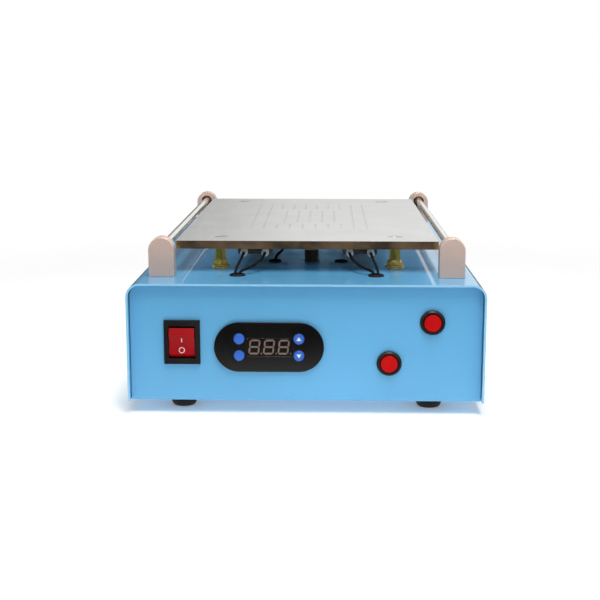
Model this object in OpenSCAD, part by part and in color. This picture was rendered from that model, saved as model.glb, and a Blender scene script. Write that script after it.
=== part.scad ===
// Bench machine that parts a glass screen from its frame: a heated, perforated plate on a
// sheet metal case, with suction through the plate and two polished rods that guide the wire.
// Millimetres. X to the right, Y to the back, Z up. The origin is on the table, under the centre.

/* [Case] */
// How far the case stands out beside the heating plate
case_side = 29.5; // [26:0.5:45]
// How far the case runs on past each end of the heating plate
case_end = 50; // [46:0.5:70]
// Height of the case without its feet
case_h = 85.5; // [83:0.5:100]
// Thickness of the painted steel sheet
sheet_t = 1.5; // [1:0.1:2]
// Outer radius of the bends along the two top edges
bend_r = 10; // [7:0.5:11]
// How far the cover stands past the front and rear panels
lip_d = 6; // [5.5:0.5:9]

/* [Heating plate] */
// Width of the heating plate
plate_w = 195; // [180:1:230]
// Depth of the heating plate
plate_d = 300; // [280:1:340]
// Thickness of the heating plate
plate_t = 6; // [5:0.5:8]
// Clear height between the case and the heating plate
plate_lift = 17.2; // [17:0.1:22]
// How far the plate sits behind the centre of the case
plate_back = 3; // [0:0.5:4]
// Diameter of a suction hole
hole_d = 2; // [1:0.1:3]
// Distance between suction holes across the plate
pitch_x = 10.4; // [9.5:0.1:10.8]
// Distance between suction holes from front to back
pitch_y = 10.5; // [10:0.1:10.8]

/* [Wire guides] */
// Width of a post
post_w = 18.5; // [17:0.5:19.5]
// Thickness of a post
post_t = 12; // [11:0.5:13]
// Height of a post above the case
post_h = 28.8; // [28:0.1:34]
// Diameter of a guide rod
rod_d = 6; // [5:0.1:7]
// Clear gap between a rod and the side of the plate
rod_gap = 4.7; // [4.5:0.1:5.2]
// Height of the rod's axis below the top of its post
rod_drop = 8.3; // [8:0.1:9]

/* [Front controls] */
// Width of the power switch's rim
rim_w = 25.8; // [25:0.1:27]
// Height of the power switch's rim
rim_h = 31.9; // [31:0.1:33]
// Angle that the rocker swings between its two positions
rocker_swing = 18; // [14:1:20]
// Length of the thermostat's black front
fascia_w = 78.2; // [76:0.1:80]
// Height of the thermostat's black front
fascia_h = 35.9; // [35:0.1:38]
// Diameter of a thermostat key
key_d = 7.7; // [6.5:0.1:8]
// How far a thermostat key moves
key_travel = 0.5; // [0.3:0.05:0.6]
// Diameter of a push-button's cap
cap_d = 12.2; // [11:0.1:12.6]
// How far a push-button moves
cap_travel = 2.5; // [1.5:0.1:3]

/* [Feet] */
// Height of a rubber foot
foot_h = 10; // [8:0.5:14]
// Diameter of a rubber foot where it meets the case
foot_d = 20; // [18:0.5:24]

/* [Hidden] */

$fn = 48;

// Clearances and the overrun of every cut
cut = 1;
slip = 0.05;
fit_gap = 0.4;
play = 0.3;

// Outside of the case
case_w = plate_w + 2 * case_side;
case_d = plate_d + 2 * case_end;

// Levels of the case
floor_z = foot_h + sheet_t;
deck_z = foot_h + case_h;
roof_z = deck_z - sheet_t;
panel_y = case_d / 2 - lip_d;
inner_y = panel_y - sheet_t;
inner_x = case_w / 2 - sheet_t - fit_gap;

// Chassis: side flanges that take the cover's screws
flange_h = 14;
flange_inset = 4;
side_screw_shares = [-0.42, 0, 0.42];
side_screw_d = 3;
side_head_d = 5.6;
side_head_h = 1.8;
side_screw_l = 6;

// Chassis: vent slots in the rear panel
vent_w = 3.2;
vent_h = 34;
vent_pitch = 8;
vent_n = 9;
vent_inset = 87;
vent_x = case_w / 2 - vent_inset;

// Feet: centres, lower end and the pocket for the screw
foot_x_share = 0.355;
foot_tip_d = foot_d * 0.7;
foot_inset = 31;
foot_pocket_d = 8.4;
foot_pocket_h = foot_h / 2;
foot_screw_d = 4;
foot_head_d = 7.4;
foot_head_h = 2.6;
foot_screw_tail = 6;

// Levels of the plate and what hangs under it
plate_z = deck_z + plate_lift;
top_z = plate_z + plate_t;
plate_corner_r = 1.5;
manifold_t = 3;
manifold_rim = 6;
manifold_inset = 10;
seal_t = 0.6;
seal_rim = 4;
manifold_z = plate_z - manifold_t;
pocket_t = 1.4;

// Suction holes: the rows of the long outer columns, and the rows of each inner block
outer_cols = 10;
side_cols = 2;
rows = 17;
front_rows = 3;
rear_rows = 4;
inner_cols = 5;
inner_first_row = 4;
inner_rows = 8;
first_row_share = 0.255;
first_row_y = plate_back - plate_d / 2 + plate_d * first_row_share;
function row_y(r) = first_row_y + r * pitch_y;
function col_x(c) = (c - (outer_cols - 1) / 2) * pitch_x;
function inner_col_x(c) = (c - (inner_cols - 1) / 2) * pitch_x;

// Screws of the plate, and the hexagonal standoffs under them
screw_side_inset = 31;
screw_end_inset = 26;
screw_x = plate_w / 2 - screw_side_inset;
screw_y = plate_d / 2 - screw_end_inset;
screw_d = 5;
screw_head_d = 11;
screw_sink_d = 12;
screw_l = 14;
standoff_af = 8;
stud_d = 6;
stud_tail = 9.5;
nut_af = 10;
nut_h = 6;
nut_flange_d = 14.2;
nut_flange_h = 1.3;

// Two strip heaters, their clamp bars, terminals and leads
heater_t = 4;
heater_w = 26;
heater_x_share = 0.6;
heater_x = screw_x * heater_x_share;
heater_inset = 22;
heater_d = plate_d - 2 * heater_inset;
heater_z = manifold_z - heater_t;
manifold_w = outer_cols * pitch_x + 2 * manifold_rim;
manifold_d = heater_d - 2 * manifold_inset;
clamp_t = 1.5;
clamp_w = 14;
clamp_drop = 11.5;
clamp_y = plate_back - first_row_y - clamp_drop;
clamp_screw_d = 4;
clamp_head_d = 7;
clamp_head_h = 2.4;
terminal_d = 5.6;
terminal_l = 9;
terminal_dx = 8;
lead_d = 2;
lead_sides = 8;
lead_hole_dx = 2.7;
lead_hole_x = heater_x + terminal_dx + lead_hole_dx;
lead_hole_inset = 31;
lead_hole_y = lead_hole_inset - panel_y;
lead_hole_d = 9.5;
grommet_bore = 7;
grommet_d = 12;
grommet_t = 4.2;
probe_gap = 9;
probe_x = heater_w / 2 + probe_gap - heater_x;
probe_hole_dx = 8;
probe_hole_x = probe_x - probe_hole_dx;
probe_hole_drop = 25.5;
probe_hole_y = first_row_y - probe_hole_drop;
probe_hole_d = 8;
probe_bore = 4;
probe_back = 8;
probe_y = probe_hole_y + probe_back;
probe_d = 5;
probe_l = 21;

// Suction: a fitting for each zone, hoses straight down, a valve under each
zone_x = 2.5;
zone_drop = 22.5;
zone_rows = 2;
zone_y = [first_row_y - zone_drop, row_y(inner_first_row + zone_rows)];
fitting_af = 12;
fitting_h = 5;
barb_d = 6;
barb_l = 12;
hose_d = 11;
hose_hole_d = 12.4;
valve_w = 26;
valve_h = 30;
valve_cap_h = 4;
valve_port_z = 14;
pump_inset = 49;
pump_x = case_w / 2 - pump_inset;
pump_y = 40;
motor_d = 36;
motor_gap = 3;
motor_l = 58;
head_w = 46;
head_l = 26;
mount_d = 12;
mount_h = 6;
foot_t = 3;
mount_pitch = 30;
port_d = 5;
port_l = 9;
port_gap = 16;
pump_hose_d = 8;

// Posts, bushes and rods
rod_x = plate_w / 2 + rod_gap + rod_d / 2;
post_gap = 12.4;
post_in_y = plate_d / 2 + post_gap - plate_back;
post_out_y = post_in_y + post_t;
rod_z = deck_z + post_h - rod_drop;
bush_wall = 2;
bush_d = rod_d + 2 * bush_wall;
bush_l = 8;
bush_sink = 0.8;
bore_depth = bush_sink + bush_l + play;
rod_chamfer = 0.6;
post_screw_d = 4;
post_screw_dx = 5;
post_screw_l = 9;
post_head_d = 7;
post_head_h = 2.6;

// Power switch
switch_inset = 38.9;
switch_x = switch_inset - case_w / 2;
switch_drop = 43;
switch_z = deck_z - switch_drop;
rim_t = 2.2;
switch_body_w = 21.6;
switch_body_h = 27.4;
switch_body_d = 24;
rocker_w = 18.1;
rocker_h = 22.2;
rocker_side_gap = 0.3;
rocker_end_gap = 0.6;
pivot_depth = 3.2;
pivot_d = 3;
pivot_l = 0.9;
// Outline of the rocker, as shares of its half height: along the panel, and out of it
rocker_shares = [[0, 0.29], [0.65, 0.46], [1, 0.2], [0.82, -0.3], [0.4, -0.42],
                 [-0.4, -0.42], [-0.82, -0.3], [-1, 0.2], [-0.65, 0.46]];

// Thermostat
switch_to_fascia = 62;
fascia_x = switch_x + switch_to_fascia;
fascia_drop = 46.2;
fascia_z = deck_z - fascia_drop;
fascia_t = 2.2;
module_w = 62;
module_h = 28;
module_d = 58;
module_wall = 1.6;
switch_h = 2.7;
key_x = 21.3;
key_z = 6.1;
key_proud = 0.5;
key_flange_step = 0.6;
key_flange_d = key_d + 2 * key_flange_step;
key_flange_t = 0.8;
key_room = key_flange_t + key_travel + switch_h;
window_w = 32;
window_h = 13.4;
window_t = 1.4;
digit_h = 10.8;
digit_w = 7.8;
digit_pitch = 10.4;
digit_slant = 0.12;
segment_t = 0.4;
segment_w = 1.2;
digits = 3;
point_d = 1.1;

// Push-buttons: distances from the right side of the case and below its top
button_insets = [[37.3, 27.8], [67.6, 57.6]];
button_places = [for (b = button_insets) [case_w / 2 - b[0], deck_z - b[1]]];
bezel_rim = 2.8;
bezel_d = cap_d + 2 * bezel_rim;
bezel_t = 3;
bezel_slope = 1.2;
barrel_wall = 1.7;
barrel_d = cap_d + 2 * barrel_wall;
barrel_l = 22;
cap_proud = 1.3;
cap_l = 7;
cap_round = 0.8;
button_nut_af = 19;
button_nut_t = 3;

// Levels and places that follow from the sizes above
heater_front_y = plate_back - heater_d / 2;
heater_mid_z = heater_z + heater_t / 2;
probe_z = manifold_z - probe_d / 2 - play;
clamp_screw_x = heater_x - heater_w / 2 - clamp_head_d;
valve_top_z = floor_z + valve_h + valve_cap_h;
port_x = zone_x + valve_w / 2 + port_l;
port_z = floor_z + valve_port_z;
head_port_x = pump_x - head_w / 2 - port_l;
motor_z = floor_z + mount_h + foot_t + motor_gap + motor_d / 2;
head_y = pump_y - head_l;
pivot_y = pivot_depth - panel_y - rim_t;
face_y = -panel_y - fascia_t;
module_end_y = module_d - panel_y;
key_places = [[-key_x, key_z], [-key_x, -key_z], [key_x, key_z], [key_x, -key_z]];
inner_pocket_w = inner_cols * pitch_x;
inner_pocket_d = inner_rows * pitch_y;
inner_pocket_y = row_y(inner_first_row + (inner_rows - 1) / 2);
outer_pocket_w = outer_cols * pitch_x;
outer_pocket_d = rows * pitch_y;
outer_pocket_y = row_y((rows - 1) / 2);
pocket_wall = seal_rim / 2;

// Boards and terminals on the floor of the case
board_w = 80;
board_d = 110;
board_t = 1.6;
board_side_gap = 19;
board_x = board_side_gap + (board_w - case_w) / 2;
board_y = 40;
spacer_h = 8;
spacer_d = 6;
spacer_inset = 5;
core_w = 44;
core_d = 38;
core_h = 34;
block_w = 72;
block_d = 20;
block_h = 16;
block_inset = 49;
block_x = case_w / 2 - block_inset;
block_back = 74;
block_y = block_back - panel_y;
block_n = 8;
block_way = block_w / block_n;

// Power inlet in the rear panel
inlet_inset = 45;
inlet_x = inlet_inset - case_w / 2;
inlet_rise = 36;
inlet_z = foot_h + inlet_rise;
inlet_w = 27.4;
inlet_h = 19.8;
inlet_d = 22;
inlet_flange_w = 50;
inlet_flange_h = 23;
inlet_flange_t = 2.4;
socket_w = 24.4;
socket_h = 16.8;
socket_d = 17;
socket_corner = 5;
pin_w = 2;
pin_h = 4;
pin_l = 14;
pin_dx = 7;
pin_dz = 2;
inlet_screw_dx = 20;
inlet_screw_d = 3;
inlet_head_d = 5.6;
inlet_head_h = 1.7;
inlet_screw_l = 8;

painted = [0.40, 0.68, 0.84];
silver = [0.80, 0.80, 0.78];
steel = [0.72, 0.73, 0.75];
champagne = [0.69, 0.62, 0.59];
zinc = [0.80, 0.68, 0.30];
bronze = [0.45, 0.27, 0.20];
black = [0.06, 0.06, 0.07];
rubber = [0.09, 0.09, 0.10];
red = [0.80, 0.06, 0.08];
blue = [0.10, 0.28, 0.80];
ceramic = [0.90, 0.88, 0.84];
mica = [0.36, 0.28, 0.18];

// Shapes used by more than one piece

module rounded_rect(w, h, r) {
  square([w - 2 * r, h], center = true);
  square([w, h - 2 * r], center = true);
  for (x = [-1, 1], y = [-1, 1])
    translate([x * (w / 2 - r), y * (h / 2 - r)]) circle(r);
}

module stadium(w, h) {
  square([w - h, h], center = true);
  for (x = [-1, 1]) translate([x * (w - h) / 2, 0]) circle(h / 2);
}

// A wall with rounded top corners, standing on z = base
module arch_outline(w, base, top, r) {
  translate([-w / 2, base]) square([w, top - r - base]);
  translate([r - w / 2, base]) square([w - 2 * r, top - base]);
  for (x = [-1, 1]) translate([x * (w / 2 - r), top - r]) circle(r);
}

// Stands an outline in the XZ plane upright and gives it a depth from y to y + depth
module upright(y, depth) {
  translate([0, y + depth, 0]) rotate([90, 0, 0]) linear_extrude(depth) children();
}

module hex_prism(af, h) {
  cylinder(d = af / cos(30), h = h, $fn = 6);
}

// A round bar along Y from y
module along_y(x, y, z, d, l) {
  translate([x, y, z]) rotate([-90, 0, 0]) cylinder(d = d, h = l);
}

module four_corners(x, y) {
  for (sx = [-1, 1], sy = [-1, 1]) translate([sx * x, sy * y, 0]) children();
}

// A screw with its head below z = 0 and its shank above
module screw_up(d, l, head_d, head_h) {
  cylinder(d = d, h = l);
  translate([0, 0, -head_h]) cylinder(d1 = head_d - head_h / 2, d2 = head_d, h = head_h);
}

// Leads and hoses: a round tube swept along a smooth route through chosen points
function unit(v) = v / norm(v);
function bend(a, b, c, d, t) = (2 * b + (c - a) * t + (2 * a - 5 * b + 4 * c - d) * t * t
                               + (3 * b - a - 3 * c + d) * t * t * t) / 2;
// The first and last stretches stay straight, so that each end meets its face squarely
function smooth(p, steps) = concat(
  [p[0]],
  [for (i = [1 : len(p) - 3], s = [0 : steps - 1])
    bend(p[i - 1], p[i], p[i + 1], p[i + 2], s / steps)],
  [p[len(p) - 2], p[len(p) - 1]]);
function tangent(p, i) = unit(p[min(i + 1, len(p) - 1)] - p[max(i - 1, 0)]);
function square_to(n, t) = unit(n - (n * t) * t);
function normals(p) = [
  for (i = 0, n = square_to([0.31, 0.87, 0.38], tangent(p, 0)); i < len(p);
       i = i + 1, n = i < len(p) ? square_to(n, tangent(p, i)) : n) n];

module swept_tube(p, d, sides) {
  n = normals(p);
  last = len(p) - 1;
  points = [for (i = [0 : last]) let (t = tangent(p, i), b = cross(t, n[i]))
            for (k = [0 : sides - 1]) let (a = 360 * k / sides)
            p[i] + d / 2 * (cos(a) * n[i] + sin(a) * b)];
  walls = [for (i = [0 : last - 1], k = [0 : sides - 1], half = [0, 1])
           let (a = i * sides + k, b = i * sides + (k + 1) % sides)
           half == 0 ? [a, a + sides, b + sides] : [a, b + sides, b]];
  ends = [[for (k = [0 : sides - 1]) k],
          [for (k = [sides - 1 : -1 : 0]) last * sides + k]];
  polyhedron(points, concat(walls, ends));
}

// Case

module panel_outline() {
  arch_outline(2 * inner_x, foot_h, roof_z - fit_gap, bend_r - sheet_t - fit_gap);
}

module front_cutouts() {
  translate([switch_x, switch_z])
    square([switch_body_w + fit_gap, switch_body_h + fit_gap], center = true);
  translate([fascia_x, fascia_z])
    square([module_w + fit_gap, module_h + fit_gap], center = true);
  for (b = button_places) translate(b) circle(d = barrel_d + fit_gap);
}

module rear_cutouts() {
  translate([inlet_x, inlet_z]) square([inlet_w + fit_gap, inlet_h + fit_gap], center = true);
  for (s = [-1, 1]) translate([inlet_x + s * inlet_screw_dx, inlet_z])
    circle(d = inlet_screw_d + fit_gap);
  for (i = [0 : vent_n - 1]) translate([vent_x + (i - (vent_n - 1) / 2) * vent_pitch, inlet_z])
    rotate(90) stadium(vent_h, vent_w);
}

module chassis() {
  color(painted) difference() {
    union() {
      upright(-panel_y, sheet_t) difference() {
        panel_outline();
        front_cutouts();
      }
      upright(inner_y, sheet_t) difference() {
        panel_outline();
        rear_cutouts();
      }
      translate([-inner_x, -panel_y, foot_h]) cube([2 * inner_x, 2 * panel_y, sheet_t]);
      for (s = [-1, 1]) translate([s * (inner_x - sheet_t / 2), 0, foot_h + flange_h / 2])
        cube([sheet_t, 2 * inner_y - 2 * flange_inset, flange_h], center = true);
    }
    four_corners(foot_x_share * case_w, case_d / 2 - foot_inset)
      translate([0, 0, foot_h - cut]) cylinder(d = foot_screw_d + slip * 2, h = sheet_t + 2 * cut);
    side_screw_holes(side_screw_d + slip * 2);
  }
}

module side_screw_holes(d) {
  for (s = [-1, 1], share = side_screw_shares)
    translate([s * (case_w / 2 - side_screw_l), share * case_d, foot_h + flange_h / 2])
      rotate([0, s * 90, 0]) cylinder(d = d, h = side_screw_l + cut);
}

module top_cover() {
  color(painted) difference() {
    upright(-case_d / 2, case_d) difference() {
      arch_outline(case_w, foot_h, deck_z, bend_r);
      translate([0, -cut]) arch_outline(case_w - 2 * sheet_t, foot_h, roof_z + cut, bend_r - sheet_t);
    }
    side_screw_holes(side_screw_d + fit_gap);
    translate([0, 0, roof_z - cut]) deck_holes(sheet_t + 2 * cut);
  }
}

// Everything that passes through the top of the case
module deck_holes(h) {
  for (s = [-1, 1]) translate([s * lead_hole_x, lead_hole_y, 0]) cylinder(d = lead_hole_d, h = h);
  for (s = [-1, 1]) translate([s * probe_hole_x, probe_hole_y, 0]) cylinder(d = probe_hole_d, h = h);
  for (y = zone_y) translate([zone_x, y, 0]) cylinder(d = hose_hole_d, h = h);
  translate([0, plate_back, 0]) four_corners(screw_x, screw_y) cylinder(d = stud_d + fit_gap, h = h);
  post_places() for (s = [-1, 1]) translate([s * post_screw_dx, 0, 0])
    cylinder(d = post_screw_d + fit_gap, h = h);
}

module cover_screws() {
  color(steel) for (s = [-1, 1], share = side_screw_shares)
    translate([s * (case_w / 2), share * case_d, foot_h + flange_h / 2])
      rotate([0, -s * 90, 0]) screw_up(side_screw_d, side_screw_l, side_head_d, side_head_h);
}

// Feet

module feet() {
  foot_r = foot_d / 2;
  tip_r = foot_tip_d / 2;
  side = [for (a = [0 : 15 : 90]) [tip_r + (foot_r - tip_r) * cos(a), foot_h * 0.8 * (1 - sin(a))]];
  color(rubber) four_corners(foot_x_share * case_w, case_d / 2 - foot_inset) difference() {
    rotate_extrude() polygon(concat([[0, foot_h], [foot_r, foot_h]], side, [[0, 0]]));
    translate([0, 0, -cut]) cylinder(d = foot_pocket_d, h = foot_pocket_h + cut);
    cylinder(d = foot_screw_d + fit_gap, h = foot_h + cut);
  }
}

module foot_screws() {
  color(steel) four_corners(foot_x_share * case_w, case_d / 2 - foot_inset)
    translate([0, 0, foot_pocket_h])
      screw_up(foot_screw_d, foot_h - foot_pocket_h + foot_screw_tail, foot_head_d, foot_head_h);
}

// Heating plate

module suction_holes(d, z, h) {
  for (c = [0 : outer_cols - 1], r = [0 : rows - 1]) {
    long = c < side_cols || c >= outer_cols - side_cols;
    if (long || r < front_rows || r >= rows - rear_rows)
      translate([col_x(c), row_y(r), z]) cylinder(d = d, h = h, $fn = 16);
  }
  for (c = [0 : inner_cols - 1], r = [0 : inner_rows - 1])
    translate([inner_col_x(c), row_y(inner_first_row + r), z]) cylinder(d = d, h = h, $fn = 16);
}

module heating_plate() {
  sink_h = (screw_sink_d - screw_d - fit_gap) / 2;
  color(silver) difference() {
    translate([0, plate_back, plate_z]) linear_extrude(plate_t)
      rounded_rect(plate_w, plate_d, plate_corner_r);
    suction_holes(hole_d, plate_z - cut, plate_t + 2 * cut);
    translate([0, plate_back, 0]) four_corners(screw_x, screw_y) {
      translate([0, 0, plate_z - cut]) cylinder(d = screw_d + fit_gap, h = plate_t + 2 * cut);
      translate([0, 0, top_z - sink_h]) cylinder(d1 = screw_d + fit_gap, d2 = screw_sink_d, h = sink_h);
    }
    for (p = manifold_screw_places()) translate([p[0], p[1], plate_z - cut])
      cylinder(d = clamp_screw_d + slip * 2, h = cut + plate_t / 2);
  }
}

module plate_screws() {
  head_h = (screw_head_d - screw_d) / 2;
  drop = (screw_sink_d - screw_head_d) / 2 - slip;
  color(steel) translate([0, plate_back, top_z - drop]) four_corners(screw_x, screw_y) {
    translate([0, 0, -head_h]) cylinder(d1 = screw_d, d2 = screw_head_d, h = head_h);
    translate([0, 0, -screw_l]) cylinder(d = screw_d, h = screw_l - head_h);
  }
}

module standoffs() {
  color(zinc) translate([0, plate_back, 0]) four_corners(screw_x, screw_y) difference() {
    union() {
      translate([0, 0, deck_z + nut_h]) rotate(30) hex_prism(standoff_af, plate_lift - nut_h);
      translate([0, 0, deck_z - stud_tail]) cylinder(d = stud_d, h = stud_tail + nut_h + slip);
    }
    translate([0, 0, top_z - screw_l - cut]) cylinder(d = screw_d + slip * 2, h = screw_l + cut);
  }
}

module flange_nut() {
  difference() {
    union() {
      hex_prism(nut_af, nut_h);
      cylinder(d = nut_flange_d, h = nut_flange_h);
      translate([0, 0, nut_flange_h]) cylinder(d1 = nut_flange_d, d2 = nut_af, h = nut_flange_h);
    }
    translate([0, 0, -cut]) cylinder(d = stud_d + slip * 2, h = nut_h + 2 * cut);
  }
}

// One nut on top of the deck and one under it clamp each standoff's stud
module flange_nuts() {
  color(zinc) translate([0, plate_back, 0]) four_corners(screw_x, screw_y) {
    translate([0, 0, deck_z]) flange_nut();
    translate([0, 0, roof_z]) mirror([0, 0, 1]) flange_nut();
  }
}

// Suction manifold: a plate with two pockets, one under each field of holes

function manifold_screw_places() = [
  for (s = [-1, 1], y = [-clamp_y, clamp_y]) [s * clamp_screw_x, plate_back + y]];

module pocket_outline() {
  channel_l = outer_pocket_y - outer_pocket_d / 2 - zone_y[0] + barb_d;
  difference() {
    union() {
      translate([0, outer_pocket_y]) square([outer_pocket_w, outer_pocket_d], center = true);
      translate([zone_x - barb_d / 2, zone_y[0] - barb_d / 2]) square([barb_d, channel_l]);
    }
    translate([0, inner_pocket_y])
      square([inner_pocket_w + 2 * pocket_wall, inner_pocket_d + 2 * pocket_wall], center = true);
    for (p = manifold_screw_places()) translate(p) circle(d = clamp_head_d);
  }
  translate([0, inner_pocket_y]) square([inner_pocket_w, inner_pocket_d], center = true);
}

module vacuum_manifold() {
  body_t = manifold_t - seal_t;
  color(silver) difference() {
    translate([0, plate_back, manifold_z + body_t / 2])
      cube([manifold_w, manifold_d, body_t], center = true);
    translate([0, 0, manifold_z + body_t - pocket_t]) linear_extrude(pocket_t + cut) pocket_outline();
    for (p = manifold_screw_places()) translate([p[0], p[1], manifold_z - cut])
      cylinder(d = clamp_screw_d + fit_gap, h = manifold_t + 2 * cut);
    for (y = zone_y) translate([zone_x, y, manifold_z - cut])
      cylinder(d = barb_d, h = manifold_t + 2 * cut);
  }
}

module manifold_seal() {
  color(red) translate([0, 0, plate_z - seal_t]) linear_extrude(seal_t) difference() {
    translate([0, plate_back]) square([manifold_w, manifold_d], center = true);
    pocket_outline();
    for (p = manifold_screw_places()) translate(p) circle(d = clamp_screw_d + fit_gap);
  }
}

module manifold_screws() {
  length = heater_t + clamp_t + manifold_t + plate_t / 2 - play;
  color(steel) for (p = manifold_screw_places())
    translate([p[0], p[1], heater_z - clamp_t])
      screw_up(clamp_screw_d, length, clamp_head_d, clamp_head_h);
}

module heaters() {
  color(mica) for (s = [-1, 1])
    translate([s * heater_x, plate_back, heater_mid_z])
      cube([heater_w, heater_d, heater_t], center = true);
}

// Clamp bars: flat across both heaters, with the middle pressed up to the manifold
module heater_clamps() {
  bar_w = 2 * heater_x + heater_w;
  color(steel) for (y = [-clamp_y, clamp_y]) difference() {
    union() {
      translate([0, plate_back + y, heater_z - clamp_t / 2])
        cube([bar_w, clamp_w, clamp_t], center = true);
      for (s = [-1, 1]) translate([s * clamp_screw_x, plate_back + y, heater_mid_z])
        cube([clamp_head_d, clamp_w, heater_t], center = true);
    }
    for (s = [-1, 1])
      translate([s * clamp_screw_x, plate_back + y, heater_z - clamp_t - cut])
        cylinder(d = clamp_screw_d + fit_gap, h = clamp_t + heater_t + 2 * cut);
  }
}

module heater_terminals() {
  collar_l = terminal_l / 4;
  color(ceramic) for (s = [-1, 1], t = [-1, 1]) {
    x = s * heater_x + t * terminal_dx;
    along_y(x, heater_front_y - terminal_l, heater_mid_z, terminal_d * 0.8, terminal_l);
    along_y(x, heater_front_y - collar_l, heater_mid_z, terminal_d, collar_l);
    along_y(x, heater_front_y - terminal_l, heater_mid_z, terminal_d, collar_l);
  }
}

// Routes of the leads: from a terminal, over the deck, down its hole and back to the terminal block.
// The shares give each point's place between the ends of its stretch.
lead_y0 = heater_front_y - terminal_l;
lead_z0 = heater_mid_z;
lead_straight = 4;
lead_spread = 1.6;
lead_end_z = floor_z + block_h + slip;
lead_end_shares = [[0, -0.5, 1.6], [0, 0, 0.85], [0, 0, 0]];
outer_over_shares = [[0.227, 0.356, 0.153], [0.682, 0.672, 0.431], [0.955, 0.925, 0.664]];
inner_over_shares = [[0.145, 0.356, 0.226], [0.523, 0.672, 0.504], [0.953, 0.941, 0.693]];
right_outer_shares = [[0, 0.019, 0.133], [0.123, 0.192, 0.367], [0.55, 0.481, 0.633],
                      [0.929, 0.769, 0.833]];
right_inner_shares = [[0, 0.019, 0.133], [0.118, 0.192, 0.4], [0.51, 0.481, 0.667],
                      [0.935, 0.769, 0.85]];
left_outer_shares = [[0.002, 0.033, 0.133], [0.044, 0.221, 0.267], [0.247, 0.509, 0.367],
                     [0.53, 0.639, 0.467], [0.772, 0.711, 0.567], [0.975, 0.827, 0.767]];
left_inner_shares = [[0.006, 0.048, 0.15], [0.088, 0.307, 0.25], [0.279, 0.567, 0.267],
                     [0.508, 0.711, 0.35], [0.756, 0.769, 0.5], [0.967, 0.856, 0.717]];
function between(a, b, shares) = [for (s = shares) [for (i = [0 : 2]) a[i] + (b[i] - a[i]) * s[i]]];

// side -1 is the left heater; t -1 its inner terminal; way counts the block's ways from its middle
function lead_route(side, t, over, down, way) = let (
  start = [side * (heater_x + t * terminal_dx), lead_y0, lead_z0],
  off = start - [0, lead_straight, 0],
  hole = [side * (lead_hole_x + t * lead_spread), lead_hole_y, roof_z],
  end = [block_x - (way + 0.5) * block_way, block_y, lead_end_z])
  concat([start, off], between(off, hole, over), [hole],
         between(hole, end + lead_straight * lead_end_shares[0], down),
         [for (share = lead_end_shares) end + lead_straight * share]);

module lead(route) {
  swept_tube(smooth(route, 2), lead_d, lead_sides);
}

module heater_leads() {
  color(black) {
    lead(lead_route(1, 1, outer_over_shares, right_outer_shares, 0));
    lead(lead_route(1, -1, inner_over_shares, right_inner_shares, 1));
    lead(lead_route(-1, -1, inner_over_shares, left_inner_shares, 2));
    lead(lead_route(-1, 1, outer_over_shares, left_outer_shares, 3));
  }
}

module grommet(hole, bore) {
  rim = hole + (grommet_d - lead_hole_d);
  lip_t = (grommet_t - sheet_t) / 2;
  difference() {
    union() {
      translate([0, 0, -sheet_t - lip_t]) cylinder(d = rim, h = lip_t);
      translate([0, 0, -sheet_t]) cylinder(d = hole - slip, h = sheet_t);
      cylinder(d1 = rim, d2 = rim - lip_t, h = lip_t);
    }
    translate([0, 0, -sheet_t - lip_t - cut]) cylinder(d = bore, h = grommet_t + 2 * cut);
  }
}

module lead_grommets() {
  color(rubber) translate([0, 0, deck_z]) {
    for (s = [-1, 1]) {
      translate([s * lead_hole_x, lead_hole_y, 0]) grommet(lead_hole_d, grommet_bore);
      translate([s * probe_hole_x, probe_hole_y, 0]) grommet(probe_hole_d, probe_bore);
    }
  }
}

// The probe's tube, and the clip that holds it up to the manifold
module temperature_probe() {
  clip_w = probe_d + 2 * clamp_t;
  clip_l = clamp_w / 2;
  clip_z = probe_z - probe_d / 2 - clamp_t;
  color(steel) {
    along_y(probe_x, probe_y, probe_z, probe_d, probe_l);
    translate([probe_x - clip_w / 2, probe_y + (probe_l - clip_l) / 2, clip_z])
      cube([clip_w, clip_l, manifold_z - clip_z]);
  }
}

// Route of the probe's lead, down its own hole to the back of the thermostat
probe_start = [probe_x, probe_y, probe_z];
probe_off = [probe_x, probe_y - lead_straight * 0.75, probe_z];
probe_hole = [probe_hole_x, probe_hole_y, deck_z];
probe_end = [probe_hole_x, module_end_y, fascia_z + module_h / 6];
probe_over_shares = [[0.25, 0.72, 0.197], [0.825, 1.04, 0.59]];
probe_down_shares = [[0, 0.025, 0.169], [0, 0.175, 0.41], [0, 0.475, 0.699], [0, 0.75, 0.916], [0, 0.9, 1]];
probe_route = concat([probe_start, probe_off], between(probe_off, probe_hole, probe_over_shares),
                     [probe_hole], between(probe_hole, probe_end, probe_down_shares), [probe_end]);

module probe_lead() {
  color(black) lead(probe_route);
}

// Suction fittings, hoses and valves

module vacuum_fittings() {
  color(zinc) for (y = zone_y) translate([zone_x, y, 0]) difference() {
    union() {
      translate([0, 0, manifold_z - fitting_h]) hex_prism(fitting_af, fitting_h);
      translate([0, 0, manifold_z - fitting_h - barb_l]) cylinder(d = barb_d, h = barb_l);
      translate([0, 0, manifold_z - slip])
        cylinder(d = barb_d - slip, h = manifold_t - pocket_t - seal_t);
    }
    translate([0, 0, manifold_z - fitting_h - barb_l - cut])
      cylinder(d = barb_d / 2, h = barb_l + fitting_h + manifold_t + 2 * cut);
  }
}

module vacuum_hoses() {
  color(rubber) for (y = zone_y) translate([zone_x, y, 0]) difference() {
    translate([0, 0, valve_top_z]) cylinder(d = hose_d, h = manifold_z - fitting_h - valve_top_z);
    translate([0, 0, valve_top_z - cut])
      cylinder(d = barb_d + slip * 2, h = manifold_z - valve_top_z + cut);
  }
}

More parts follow.
